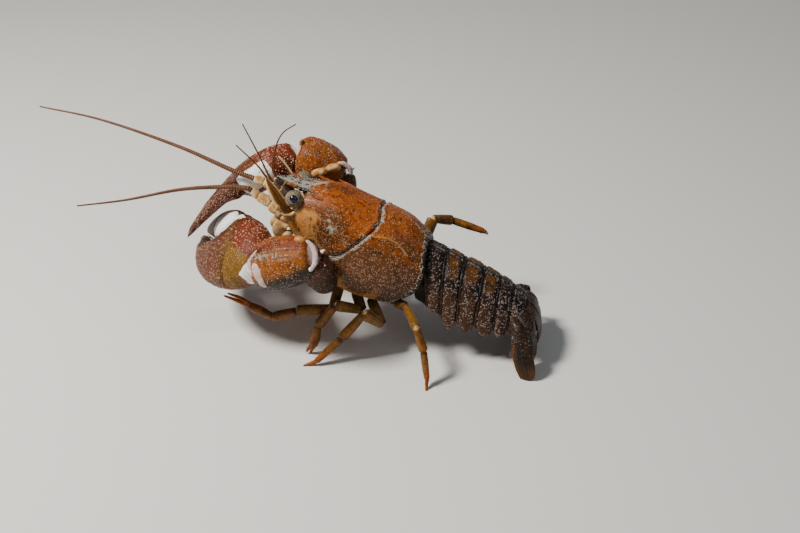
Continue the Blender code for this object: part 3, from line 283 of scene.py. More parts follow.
class CrayfishColours(bpy.types.PropertyGroup):
    """Colours of the shell."""
    orange: colour_property("Bright orange", "Back of carapace and wrists", 0.31, 0.068, 0.004)
    rust: colour_property("Rust brown", "Ground colour of the carapace", 0.105, 0.038, 0.010)
    tan: colour_property("Tan flecks", "Small flecks and bristles", 0.40, 0.215, 0.12)
    umber: colour_property("Dark umber", "Tail and shaded sides", 0.013, 0.008, 0.006)
    olive: colour_property("Golden olive", "Legs and back of the hand", 0.17, 0.082, 0.010)
    claw_red: colour_property("Claw red", "Inner back of the claws", 0.16, 0.026, 0.008)
    plum: colour_property("Plum brown", "Ground colour of the claws", 0.105, 0.03, 0.011)
    gold: colour_property("Gold brown", "Cheeks and gill lines", 0.58, 0.24, 0.045)
    amber: colour_property("Amber", "Warm bands of the tail", 0.15, 0.055, 0.006)
    grey: colour_property("Purple grey", "Specks of the tail", 0.25, 0.205, 0.185)
    black: colour_property("Furrow black", "Furrows and creases", 0.006, 0.005, 0.005)
    cream: colour_property("Cream", "Feeler bases and mouth", 0.72, 0.50, 0.24)
    lilac: colour_property("Lilac white", "Soft rims and claw pimples", 0.62, 0.46, 0.44)
    signal: colour_property("Signal patch", "White patch at the claw's hinge", 0.93, 0.92, 0.86)
    silt: colour_property("Silt", "Dust in the grooves", 0.40, 0.38, 0.30)
    eye: colour_property("Eye", "Cornea", 0.006, 0.009, 0.02)
    eye_sheen: colour_property("Eye sheen", "Lighter grain of the cornea", 0.010, 0.014, 0.03)


def standing(forward, left, height):
    """A standing place as a point of the frame."""
    return Vector((PLAN_FORWARD - forward, PLAN_LEFT - left, height)) * MM


def trunk(forward, left, up):
    """A trunk place as a point of the frame."""
    ahead = forward * math.cos(PITCH) - up * math.sin(PITCH)
    height = TRUNK_HEIGHT + forward * math.sin(PITCH) + up * math.cos(PITCH)
    return standing(ahead, left, height)


def direction(forward, left, height):
    """A standing direction as a unit vector of the frame."""
    return Vector((-forward, -left, height)).normalized()


def trunk_direction(forward, left, up):
    """A trunk direction as a unit vector of the frame."""
    return (trunk(forward, left, up) - trunk(0, 0, 0)).normalized()


def clamp(value, low=0.0, high=1.0):
    """A value kept between low and high."""
    return max(low, min(high, value))


def ramp(value, low, high):
    """0 below low, 1 above high and smooth between; low may be the larger."""
    t = clamp((value - low) / (high - low))
    return t * t * (3 - 2 * t)


def bump(value, centre, width):
    """1 at the centre, falling away over the width."""
    return math.exp(-((value - centre) / width) ** 2)


def smooth_value(keys, x):
    """Read a smooth curve through (position, value) keys."""
    if x <= keys[0][0]:
        return keys[0][1]
    if x >= keys[-1][0]:
        return keys[-1][1]
    for i in range(len(keys) - 1):
        x0, v0 = keys[i]
        x1, v1 = keys[i + 1]
        if x <= x1:
            break
    slopes = []
    for j in (i, i + 1):
        before = keys[max(j - 1, 0)]
        after = keys[min(j + 1, len(keys) - 1)]
        slopes.append((after[1] - before[1]) / (after[0] - before[0]))
    span = x1 - x0
    t = (x - x0) / span
    return ((2 * t**3 - 3 * t**2 + 1) * v0 + (t**3 - 2 * t**2 + t) * span * slopes[0]
            + (3 * t**2 - 2 * t**3) * v1 + (t**3 - t**2) * span * slopes[1])


def smooth_path(points, count):
    """Read count + 1 points along a smooth curve through the given points."""
    distance = [0.0]
    for a, b in zip(points, points[1:]):
        distance.append(distance[-1] + (b - a).length)
    axes = [[(d, p[axis]) for d, p in zip(distance, points)] for axis in range(3)]
    steps = [distance[-1] * i / count for i in range(count + 1)]
    return [Vector([smooth_value(keys, s) for keys in axes]) for s in steps]


def lumps(point, size, seed=0.0):
    """Smooth noise from -1 to 1 with lumps about size millimetres across."""
    return noise.noise(point / (size * MM) + Vector((seed, seed * 1.7, seed * 0.6)))


def signed_power(value, power):
    """A value's size raised to a power, with its sign kept."""
    return math.copysign(abs(value) ** power, value)


def circle(sides, shift=0):
    """Angles round a circle; shift is a share of one step."""
    return [2 * math.pi * (k + shift) / sides for k in range(sides)]


def column(rows, k):
    """Keys of a smooth curve: the first and the k-th value of each row."""
    return [(row[0], row[k]) for row in rows]


def placed(point_of, places, side=1):
    """Points of trunk or standing places; side -1 mirrors them to the right."""
    return [point_of(forward, left * side, up) for forward, left, up in places]


class Shell:
    """Rings of points with their local places, joined into one mesh."""

    def __init__(self):
        self.points = []
        self.places = []
        self.faces = []
        self.mesh = None

    def loft(self, rings, first, last):
        """Join rings of (point, place) pairs; first and last are points that close the ends."""
        start = len(self.points)
        count = len(rings[0])
        for ring in rings:
            self.points += [point for point, place in ring]
            self.places += [place for point, place in ring]
        for row in range(len(rings) - 1):
            low = start + row * count
            for i in range(count):
                j = (i + 1) % count
                self.faces.append((low + i, low + j, low + count + j, low + count + i))
        for tip, row in ((first, 0), (last, len(rings) - 1)):
            pole = len(self.points)
            base = start + row * count
            self.points.append(tip)
            self.places.append(self.places[base])
            for i in range(count):
                j = (i + 1) % count
                self.faces.append((base + i, base + j, pole) if row else (base + j, base + i, pole))

    def build(self, name, paint=None, relief=None):
        """Make the object: paint gives the masks and relief an outward shift in millimetres."""
        mesh = bpy.data.meshes.new(name)
        mesh.from_pydata([tuple(p) for p in self.points], [], self.faces)
        work = bmesh.new()
        work.from_mesh(mesh)
        bmesh.ops.recalc_face_normals(work, faces=work.faces)
        work.to_mesh(mesh)
        work.free()
        if relief:
            normals = np.empty(len(mesh.vertices) * 3)
            mesh.vertices.foreach_get("normal", normals)
            shift = np.array([relief(place, point) for place, point in zip(self.places, self.points)])
            moved = np.array([tuple(p) for p in self.points]) + normals.reshape(-1, 3) * shift[:, None] * MM
            mesh.vertices.foreach_set("co", moved.ravel())
            mesh.update()
        if paint:
            rows = [paint(place, point) for place, point in zip(self.places, self.points)]
            values = np.array([row + (0,) * (len(MASKS) - len(row)) for row in rows])
            # The loop reuses name, so a painted object is called after the last mask. Its mesh keeps its own name.
            for name, shares in zip(MASKS, values.T):
                layer = mesh.attributes.new(name, "FLOAT", "POINT")
                layer.data.foreach_set("value", np.clip(shares, 0, 1).astype(np.float32))
        mesh.shade_smooth()
        self.mesh = mesh
        thing = bpy.data.objects.new(name, mesh)
        bpy.context.scene.collection.objects.link(thing)
        return thing


def dome(share, length, start, end):
    """Size factor that rounds off both ends of a tube; start and end are in millimetres."""
    size = 1.0
    for reach, away in ((start, share * length), (end, (1 - share) * length)):
        if reach > 0 and away < reach:
            size *= math.sqrt(max(1 - (1 - away / reach) ** 2, 0.0))
    return size


def tube(shell, points, keys, hint, sides=20, count=24, ends=(1.0, 1.0), power=2.0, tag=0):
    """Add a tube along a smooth path: keys are (share, half across, half deep) in millimetres."""
    path = smooth_path(points, PATH_STEPS)
    length = sum((b - a).length for a, b in zip(path, path[1:])) / MM
    across_keys, deep_keys = column(keys, 1), column(keys, 2)
    rings = []
    for i in range(count + 1):
        share = (1 - math.cos(math.pi * i / count)) / 2 if count < EVEN_RINGS else i / count
        share = clamp(share, 0.004, 0.996)
        spot = share * PATH_STEPS
        low = min(int(spot), PATH_STEPS - 1)
        centre = path[low].lerp(path[low + 1], spot - low)
        along = (path[min(low + 2, PATH_STEPS)] - path[max(low - 1, 0)]).normalized()
        across = (hint - along * hint.dot(along)).normalized()
        deep = along.cross(across)
        size = dome(share, length, *ends)
        half_across = smooth_value(across_keys, share) * size
        half_deep = smooth_value(deep_keys, share) * size
        ring = []
        for angle in circle(sides, 0.5):
            a, d = signed_power(math.cos(angle), 2 / power), signed_power(math.sin(angle), 2 / power)
            point = centre + across * (a * half_across * MM) + deep * (d * half_deep * MM)
            ring.append((point, (share, a, d, tag)))
        rings.append(ring)
    shell.loft(rings, path[0], path[-1])


def segment(shell, begin, end, keys, hint, *shape, **more):
    """Add a straight tube that reaches a little past both its ends."""
    past = (end - begin).normalized() * 0.3 * MM
    tube(shell, [begin - past, end + past], keys, hint, *shape, **more)


def add_spines(shell, begin, end, aside, above, forward, start, halves, sides, rows):
    """Add pointed spines to a limb from begin to end: rows are (share of its length, turn round it, reach)."""
    along = (end - begin).normalized()
    keys = [(share, half, half) for share, half in zip((0, 0.5, 1), halves)]
    for share, turn, reach in rows:
        lean = (aside * math.cos(turn) + above * math.sin(turn) + along * forward).normalized()
        spot = begin.lerp(end, share) + lean * (start * MM)
        tube(shell, [spot, spot + lean * (reach * MM)], keys, along, sides, sides, (0.4, 0.1), tag=1)


class Bits:
    """Points with a direction and a size, where one small shape is repeated."""

    def __init__(self):
        self.spots = []

    def add(self, point, lean, size):
        self.spots.append((point, lean, size))

    def sprinkle(self, shell, count, seed, chance, size, spread=0.0, sink=0.0, tries=6):
        """Scatter over a built shell where chance(place, spot) allows, one to a cell of width spread."""
        pick = random.Random(seed)
        polygons = shell.mesh.polygons
        areas = np.empty(len(polygons))
        polygons.foreach_get("area", areas)
        totals = np.cumsum(areas) / areas.sum()
        vertices = shell.mesh.vertices
        taken = set()
        for _ in range(count * tries):
            if count <= 0:
                break
            polygon = polygons[min(int(np.searchsorted(totals, pick.random())), len(polygons) - 1)]
            weights = [pick.random() for _ in polygon.vertices]
            spot = sum((vertices[k].co * w for k, w in zip(polygon.vertices, weights)), Vector()) / sum(weights)
            if pick.random() > chance(shell.places[polygon.vertices[0]], spot):
                continue
            if spread:
                cell = tuple(int(math.floor(x / (spread * MM))) for x in spot)
                if cell in taken:
                    continue
                taken.add(cell)
            self.add(spot - polygon.normal * (sink * MM), polygon.normal.copy(), size * pick.uniform(0.7, 1.25))
            count -= 1


# Node trees

def link(tree, source, socket):
    """Join a socket, or set its value where the source is a number or a colour."""
    if isinstance(source, bpy.types.NodeSocket):
        tree.links.new(source, socket)
    else:
        socket.default_value = (*source, 1) if isinstance(source, (tuple, list)) else source


def mix(tree, share, first, second, blend="MIX"):
    """A colour mix node's result."""
    node = tree.nodes.new("ShaderNodeMix")
    node.data_type = "RGBA"
    node.blend_type = blend
    link(tree, share, node.inputs[0])
    link(tree, first, node.inputs[6])
    link(tree, second, node.inputs[7])
    return node.outputs[2]


def calculate(tree, operation, first, second=0.0, third=0.0, limit=False):
    """A maths node's result."""
    node = tree.nodes.new("ShaderNodeMath")
    node.operation = operation
    node.use_clamp = limit
    for socket, value in zip(node.inputs, (first, second, third)):
        link(tree, value, socket)
    return node.outputs[0]


def fade(tree, value, low, high):
    """A smooth step from 0 at low to 1 at high; low may be the larger."""
    node = tree.nodes.new("ShaderNodeMapRange")
    node.interpolation_type = "SMOOTHSTEP"
    link(tree, value, node.inputs["Value"])
    turned = low > high
    for name, setting in (("From Min", min(low, high)), ("From Max", max(low, high)),
                          ("To Min", float(turned)), ("To Max", float(not turned))):
        node.inputs[name].default_value = setting
    return node.outputs["Result"]


def mask(tree, name):
    """A painted mask of the mesh."""
    node = tree.nodes.new("ShaderNodeAttribute")
    node.attribute_name = name
    return node.outputs["Fac"]


def grain(tree, place, size, detail=3.0, rough=0.55):
    """Noise whose lumps are size millimetres across."""
    node = tree.nodes.new("ShaderNodeTexNoise")
    tree.links.new(place, node.inputs["Vector"])
    node.inputs["Scale"].default_value = 1 / (size * MM)
    node.inputs["Detail"].default_value = detail
    node.inputs["Roughness"].default_value = rough
    return node.outputs["Fac"]


def cells(tree, place, size):
    """Voronoi distance and random cell colour; cells are size across, in metres."""
    node = tree.nodes.new("ShaderNodeTexVoronoi")
    tree.links.new(place, node.inputs["Vector"])
    tree.links.new(calculate(tree, "DIVIDE", 1.0, size), node.inputs["Scale"])
    return node.outputs["Distance"], node.outputs["Color"]


def shell_group():
    """Colour, roughness and height of shell, driven by the painted masks."""
    tree = bpy.data.node_groups.get("shell_tint")
    if tree:
        return tree
    tree = bpy.data.node_groups.new("shell_tint", "ShaderNodeTree")
    for name in (*SHELL_COLOURS, "Silt"):
        tree.interface.new_socket(name=name, in_out="INPUT", socket_type="NodeSocketColor")
    for name, value in (("Fleck Size", 0.0005), ("Fleck Amount", 0.4), ("Mottle", 0.5), ("Polish", 0.3)):
        socket = tree.interface.new_socket(name=name, in_out="INPUT", socket_type="NodeSocketFloat")
        socket.default_value = value
    for name, kind in (("Color", "Color"), ("Roughness", "Float"), ("Height", "Float")):
        tree.interface.new_socket(name=name, in_out="OUTPUT", socket_type="NodeSocket" + kind)

    def times(first, second, limit=False):
        return calculate(tree, "MULTIPLY", first, second, limit=limit)

    def scaled(value, factor, shift, limit=False):
        return calculate(tree, "MULTIPLY_ADD", value, factor, shift, limit)

    def frayed(name, value, reach, shift):
        """A painted mask whose edge is broken up by noise."""
        return calculate(tree, "ADD", mask(tree, name), scaled(value, reach, shift))

    given = tree.nodes.new("NodeGroupInput").outputs
    place = tree.nodes.new("ShaderNodeTexCoord").outputs["Object"]
    broad = grain(tree, place, 5.0, 4.0)
    middle = grain(tree, place, 1.3, 5.0, 0.62)
    fine = grain(tree, place, 0.35, 4.0, 0.7)
    colour = mix(tree, times(frayed("warm", broad, 0.9, -0.45), 1.0, True), given["Main"], given["Warm"])
    third_share = fade(tree, frayed("third", broad, 0.5, -0.25), 0.2, 0.8)
    third_share = times(third_share, fade(tree, mask(tree, "third"), 0.02, 0.2))
    colour = mix(tree, third_share, colour, given["Third"])
    colour = mix(tree, times(fade(tree, middle, 0.48, 0.68), given["Mottle"]), colour, given["Dark"])
    colour = mix(tree, times(fade(tree, fine, 0.5, 0.75), 0.35), colour, given["Main"], "MULTIPLY")
    distance, chance = cells(tree, place, given["Fleck Size"])
    split = tree.nodes.new("ShaderNodeSeparateColor")
    tree.links.new(chance, split.inputs["Color"])
    shown = calculate(tree, "LESS_THAN", split.outputs["Red"], given["Fleck Amount"])
    spot = times(fade(tree, distance, 0.42, 0.2), shown)
    spot = times(spot, scaled(split.outputs["Green"], 0.6, 0.4))
    spot = times(spot, calculate(tree, "SUBTRACT", 1.0, mask(tree, "bare")))
    colour = mix(tree, spot, colour, given["Fleck"])
    colour = mix(tree, mask(tree, "dark"), colour, given["Dark"])
    pale_share = fade(tree, frayed("pale", middle, 0.7, -0.35), 0.35, 0.62)
    pale_share = times(pale_share, fade(tree, mask(tree, "pale"), 0.02, 0.2))
    colour = mix(tree, pale_share, colour, given["Pale"])
    dust = times(fade(tree, frayed("silt", fine, 1.5, -1.0), 0.12, 0.6), mask(tree, "silt"))
    colour = mix(tree, dust, colour, given["Silt"])
    rough = scaled(dust, 0.35, scaled(fine, 0.16, given["Polish"]))
    rough = scaled(pale_share, -0.04, rough, True)
    height = scaled(fade(tree, distance, 0.5, 0.0), 0.55, times(middle, 0.5))
    height = scaled(fine, 0.3, height)
    out = tree.nodes.new("NodeGroupOutput").inputs
    for name, source in (("Color", colour), ("Roughness", rough), ("Height", height)):
        tree.links.new(source, out[name])
    return tree


def new_material(name):
    """An empty Principled material: the material, its tree and its shader."""
    material = bpy.data.materials.new(name)
    material.use_nodes = True
    tree = material.node_tree
    return material, tree, tree.nodes["Principled BSDF"]


def add_bump(tree, shader, height, strength, depth):
    """Bump on the shader; depth in millimetres."""
    node = tree.nodes.new("ShaderNodeBump")
    node.inputs["Strength"].default_value = strength
    node.inputs["Distance"].default_value = depth * MM
    tree.links.new(height, node.inputs["Height"])
    tree.links.new(node.outputs["Normal"], shader.inputs["Normal"])


def shell_material(name, colour_names, fleck_size, fleck_amount, mottle, polish, bump_depth, coat=0.05):
    """A shell finish, from one row of SHELL_FINISHES."""
    colours = bpy.context.scene.crayfish_colours
    material, tree, shader = new_material(name)
    group = tree.nodes.new("ShaderNodeGroup")
    group.node_tree = shell_group()
    for socket, colour in (*zip(SHELL_COLOURS, colour_names.split()), ("Silt", "silt")):
        group.inputs[socket].default_value = (*getattr(colours, colour), 1)
    for socket, value in (("Fleck Size", fleck_size * MM), ("Fleck Amount", fleck_amount), ("Mottle", mottle),
                          ("Polish", polish)):
        group.inputs[socket].default_value = value
    tree.links.new(group.outputs["Color"], shader.inputs["Base Color"])
    tree.links.new(group.outputs["Roughness"], shader.inputs["Roughness"])
    for socket, value in (("Specular IOR Level", 0.16), ("Coat Weight", coat), ("Coat Roughness", 0.08)):
        shader.inputs[socket].default_value = value
    add_bump(tree, shader, group.outputs["Height"], 0.75, bump_depth)
    return material


def plain_material(name, first, second, rough, coat=0.0, size=0.6, share=0.5):
    """A small part's finish: two colours mixed by fine noise, from one row of PLAIN_FINISHES."""
    colours = bpy.context.scene.crayfish_colours
    material, tree, shader = new_material(name)
    place = tree.nodes.new("ShaderNodeTexCoord").outputs["Object"]
    speck = grain(tree, place, size, 4.0)
    share = calculate(tree, "MULTIPLY", fade(tree, speck, 0.35, 0.7), share)
    tone = mix(tree, share, tuple(getattr(colours, first)), tuple(getattr(colours, second)))
    tree.links.new(tone, shader.inputs["Base Color"])
    shader.inputs["Roughness"].default_value = rough
    shader.inputs["Coat Weight"].default_value = coat
    add_bump(tree, shader, speck, 0.3, 0.05)
    return material


def material_named(name):
    """A finish of this model, made when it is first asked for."""
    found = bpy.data.materials.get(name)
    if found:
        return found
    if name in SHELL_FINISHES:
        return shell_material(name, *SHELL_FINISHES[name])
    return plain_material(name, *PLAIN_FINISHES[name])


# Repeated bits

def bit_shape(name, rows, sides, bend=0.0):
    """One small shape along +Z, made once: rows are (height, radius) in units of its size."""
    if name in bpy.data.objects:
        return bpy.data.objects[name]
    shell = Shell()
    rings = [[(Vector((radius * math.cos(angle) + bend * height**2, radius * math.sin(angle), height)), ())
              for angle in circle(sides)] for height, radius in rows]
    tip = rows[-1][0] + rows[-1][1] * 0.5
    shell.loft(rings, Vector((0, 0, rows[0][0])), Vector((bend * tip**2, 0, tip)))
    thing = shell.build(name)
    bpy.context.scene.collection.objects.unlink(thing)
    return thing


def hair_bit():
    """A thin curved bristle, one unit long."""
    sizes = bpy.context.scene.crayfish_sizes
    thin = sizes.bristle_radius / sizes.bristle_length
    return bit_shape("bit_hair", ((0, thin), (0.5, thin * 0.75), (1, thin * 0.2)), 3, 0.18)


def pimple_bit():
    """A low round pimple of unit radius."""
    return bit_shape("bit_pimple", ((-0.4, 1.0), (0.3, 0.88), (0.7, 0.45)), 6)


def scatter_tree():
    """Geometry nodes that set one shape on every vertex, turned to its lean and scaled to its size."""
    tree = bpy.data.node_groups.get("set_bits")
    if tree:
        return tree
    tree = bpy.data.node_groups.new("set_bits", "GeometryNodeTree")
    for name, in_out, kind in (("Geometry", "INPUT", "Geometry"), ("Bit", "INPUT", "Object"),
                               ("Finish", "INPUT", "Material"), ("Geometry", "OUTPUT", "Geometry")):
        tree.interface.new_socket(name=name, in_out=in_out, socket_type="NodeSocket" + kind)
    given = tree.nodes.new("NodeGroupInput").outputs
    info = tree.nodes.new("GeometryNodeObjectInfo")
    readers = []
    for name, kind in (("lean", "FLOAT_VECTOR"), ("size", "FLOAT")):
        reader = tree.nodes.new("GeometryNodeInputNamedAttribute")
        reader.data_type = kind
        reader.inputs["Name"].default_value = name
        readers.append(reader.outputs["Attribute"])
    turn = tree.nodes.new("FunctionNodeAlignRotationToVector")
    turn.axis = "Z"
    place = tree.nodes.new("GeometryNodeInstanceOnPoints")
    realise = tree.nodes.new("GeometryNodeRealizeInstances")
    finish = tree.nodes.new("GeometryNodeSetMaterial")
    out = tree.nodes.new("NodeGroupOutput").inputs
    for source, socket in ((given["Bit"], info.inputs["Object"]), (given["Geometry"], place.inputs["Points"]),
                           (info.outputs["Geometry"], place.inputs["Instance"]),
                           (readers[0], turn.inputs["Vector"]), (turn.outputs["Rotation"], place.inputs["Rotation"]),
                           (readers[1], place.inputs["Scale"]),
                           (place.outputs["Instances"], realise.inputs["Geometry"]),
                           (realise.outputs["Geometry"], finish.inputs["Geometry"]),
                           (given["Finish"], finish.inputs["Material"]),
                           (finish.outputs["Geometry"], out["Geometry"])):
        tree.links.new(source, socket)
    return tree


def set_bits(name, bits, bit, finish):
    """Turn a list of spots into one mesh piece of repeated shapes, without those past the frame's box."""
    spots = []
    for point, way, size in bits.spots:
        tip = point + way.normalized() * (size * 1.1 * MM)
        if all(a < v < b for a, v, b in zip(ROOM[0], tip, ROOM[1])):
            spots.append((point, way, size))
    mesh = bpy.data.meshes.new(name + "_spots")
    mesh.from_pydata([tuple(spot[0]) for spot in spots], [], [])
    lean = mesh.attributes.new("lean", "FLOAT_VECTOR", "POINT")
    lean.data.foreach_set("vector", [x for spot in spots for x in spot[1]])
    size = mesh.attributes.new("size", "FLOAT", "POINT")
    size.data.foreach_set("value", [spot[2] * MM for spot in spots])
    thing = bpy.data.objects.new(name, mesh)
    bpy.context.scene.collection.objects.link(thing)
    tree = scatter_tree()
    modifier = thing.modifiers.new("set_bits", "NODES")
    modifier.node_group = tree
    sockets = {item.name: item.identifier for item in tree.interface.items_tree if item.in_out == "INPUT"}
    modifier[sockets["Bit"]] = bit
    modifier[sockets["Finish"]] = material_named(finish)
    bpy.context.view_layer.update()
    result = bpy.data.meshes.new_from_object(thing.evaluated_get(bpy.context.evaluated_depsgraph_get()))
    thing.modifiers.clear()
    thing.data = result
    bpy.data.meshes.remove(mesh)
    for attribute in ("lean", "size"):
        if attribute in result.attributes:
            result.attributes.remove(result.attributes[attribute])
    result.shade_smooth()
    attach(thing, "root")
    return thing


def place_piece(shell, name, finish, node=None, paint=None, relief=None):
    """Build a shell as a piece of the object, in place of a node where one is named."""
    thing = shell.build(name, paint, relief)
    mesh = thing.data
    places = np.empty(len(mesh.vertices) * 3)
    mesh.vertices.foreach_get("co", places)
    mesh.vertices.foreach_set("co", np.clip(places.reshape(-1, 3), ROOM[0], ROOM[1]).ravel())
    mesh.update()
    mesh.materials.append(material_named(finish))
    if node:
        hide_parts(node)
    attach(thing, "root")
    return thing


# Carapace

def arch_point(half_width, top, low, u):
    """A horseshoe section's (left, up) at u, from the left lower edge (0) over the back to the right (1)."""
    middle = low + ARCH_MIDDLE * (top - low)
    below = ARCH_BELOW
    angle = -below + (math.pi + 2 * below) * u
    side = signed_power(math.cos(angle), 0.86)
    if math.sin(angle) >= 0:
        return half_width * side, middle + (top - middle) * abs(math.sin(angle)) ** 0.93
    drop = abs(math.sin(angle)) / math.sin(below)
    return half_width * math.copysign(1 - (1 - ARCH_TUCK) * drop**2, side), middle - (middle - low) * drop


def carapace_relief(side, x, gap, left):
    """How far the carapace's skin stands out: the neck groove, two lines behind it, low swellings."""
    sizes = bpy.context.scene.crayfish_sizes
    ragged = lumps(trunk(x, left, 0), 1.6, 3.0)
    out = -sizes.groove_depth * bump(gap, 0.25 * ragged, sizes.groove_width * (1 + 0.3 * ragged))
    out += 0.2 * bump(gap, -1.1, 0.6) + 0.2 * bump(gap, 1.1, 0.6)
    if gap < 0:
        out += 0.2 * bump(side, smooth_value(BRANCH_LINE, x), 0.014) * ramp(x, 1, 4)
        out -= 0.16 * bump(abs(left), 3.1, 0.35) * (side < 0.35)
    else:
        out += 0.35 * bump(side, 0.5, 0.14) * bump(x, 29, 5) - 0.2 * bump(side, 0.62, 0.05) * bump(x, 31, 5)
    return out


def make_carapace():
    """The carapace with its neck groove, gill lines and speckles."""
    shell = Shell()
    rings = []
    arc, behind, ahead = 121, 54, 60
    steps = [-(1 - i / behind) ** 1.25 for i in range(behind)] + [0.0]
    steps += [(i / ahead) ** 1.25 for i in range(1, ahead + 1)]
    for v in steps:
        ring = []
        for i in range(arc):
            u = i / (arc - 1)
            side = abs(2 * u - 1)
            groove = smooth_value(NECK_GROOVE, side)
            x = groove + (smooth_value(REAR_EDGE if v < 0 else FRONT_EDGE, side) - groove) * abs(v)
            low = smooth_value(CARAPACE_LOWER_EDGE, x)
            left, up = arch_point(smooth_value(CARAPACE_HALF_WIDTH, x), smooth_value(CARAPACE_TOP, x), low, u)
            out = carapace_relief(side, x, x - groove, left)
            slope = Vector((0, left, up - 10)).normalized()
            ring.append((trunk(x, left + slope.y * out, up + slope.z * out), (side, x - groove, left, x)))
        edge = arch_point(smooth_value(CARAPACE_HALF_WIDTH, x), 20, low, 0)[0]
        inner = min(CARAPACE_CORE_HALF_WIDTH, edge - 2.0)
        roof = max(CARAPACE_CORE_FLOOR, low + 0.8)
        for left, up in ((-edge + 0.7, low + 0.1), (-edge + 1.3, low + 0.5), (-inner, roof),
                         (inner, roof), (edge - 1.3, low + 0.5), (edge - 0.7, low + 0.1)):
            ring.append((trunk(x, left, up), (1.2, 9.0, left, x)))
        rings.append(ring)
    rear, front = trunk(3.4, 0, 11.0), trunk(42.9, 0, 11.6)
    rear_caps, front_caps = (
        [[(point.lerp(target, reach), (1.3, 9.0, 0, 0)) for point, place in ring] for reach in (0.45, 0.03)]
        for target, ring in ((rear, rings[0]), (front, rings[-1])))
    shell.loft(rear_caps + rings + front_caps[::-1], rear, front)

    def paint(place, point):
        side, gap, left, x = place
        if side > 1.1:
            return 0.2, 0, 0.75, 0
        wobble = 0.16 * lumps(point, 6) + 0.06 * lumps(point, 1.5)
        ragged = lumps(point, 1.3, 5.0)
        rear = x - smooth_value(REAR_EDGE, side)
        if gap > 0:
            warm = 0.1 + 0.95 * ramp(side + wobble, 0.5, 0.2) + 0.3 * ramp(side, 0.3, 0.6) * ramp(x, 30, 24)
            third = ramp(x + 4 * wobble, 31, 37) * ramp(side, 0.38, 0.54) + 0.55 * ramp(side, 0.7, 0.9)
            dark = 0.5 * ramp(ragged + lumps(point, 4), 0.25, 0.8) * ramp(side, 0.3, 0.5) * ramp(x, 37, 33)
            silt = 0.8 * bump(side, 0.47, 0.14) * bump(x, 31, 4) * ramp(ragged, -0.1, 0.5)
        else:
            warm = 0.9 * ramp(side + wobble, 0.36, 0.1) + 0.5 * bump(side, 0.4, 0.05) + 0.25 * bump(gap, -1.5, 1.5)
            third = 0.75 * ramp(side + wobble, 0.75, 0.95) * ramp(x, 5, 10)
            third += 0.65 * bump(side, smooth_value(BRANCH_LINE, x), 0.014) * ramp(x, 2, 6)
            third += 0.7 * bump(abs(left), 3.1 + 0.12 * (18 - x), 0.3) * ramp(x, 6, 10) * (side < 0.4)
            # Painted shade: behind the neck groove the sides darken towards the lower edge, and near the rear the
            # lower half is darkened too.
            dark = 0.5 * ramp(side + wobble, 0.62, 0.95) + 0.35 * ramp(x, 9, 3) * ramp(side, 0.3, 0.6)
            silt = 0.0
        dark += 0.95 * bump(gap, 0.25 * ragged, 0.3) + 0.5 * bump(gap, 0.9, 0.5) * ramp(ragged, -0.3, 0.4)
        dark += 0.9 * ramp(rear + 0.5 * ragged, 1.9, 0.8) + 0.5 * ramp(side, 0.1, 0.0) * ramp(x, 24, 30)
        silt += 0.85 * bump(gap, -0.7 + 0.6 * ragged, 0.9) * ramp(lumps(point, 1.1, 2.0), -0.2, 0.3)
        silt += 0.45 * (gap > 0) * ramp(side, 0.36, 0.5) * ramp(x, 24, 28) * ramp(lumps(point, 3, 7.0), 0.1, 0.4)
        silt += 0.45 * bump(rear, 0.9, 0.5) * ramp(ragged, 0.0, 0.5) + 0.5 * bump(abs(left), 0.0, 0.5) * ramp(x, 8, 2)
        silt += 0.8 * ramp(x, 34, 38) * ramp(side, 0.3, 0.16) * ramp(ragged, -0.4, 0.3)
        return warm, 0.0, dark, silt, third, 0.5 * ramp(side, 0.35, 0.1) * (gap > 0)

    place_piece(shell, "carapace_shell", "carapace_finish", "carapace", paint)
    granules = Bits()

    def granule_chance(place, spot):
        side, gap, left, x = place
        if side > 1:
            return 0
        groove = bump(gap, -0.45 + 0.3 * lumps(spot, 1.5), 0.75) * ramp(lumps(spot, 2.2, 2.0), -0.35, 0.15)
        rear = 0.3 * bump(x - smooth_value(REAR_EDGE, side), 1.0, 0.5)
        return max(groove, rear, 0.5 * bump(abs(left), 0, 0.5) * ramp(x, 10, 2))

    granules.sprinkle(shell, 1500, 5, granule_chance, 0.2, 0.28, 0.02, 50)
    set_bits("groove_granules", granules, pimple_bit(), "granule_finish")

    def pimple_chance(place, spot):
        side, gap = place[:2]
        return (0.35 + 0.65 * ramp(side, 0.25, 0.5)) * (abs(gap) > 0.8) if side < 1 else 0

    pimples = Bits()
    pimples.sprinkle(shell, 2000, 6, pimple_chance, 0.19, 0.5, 0.05)
    set_bits("carapace_pimples", pimples, pimple_bit(), "fleck_finish")


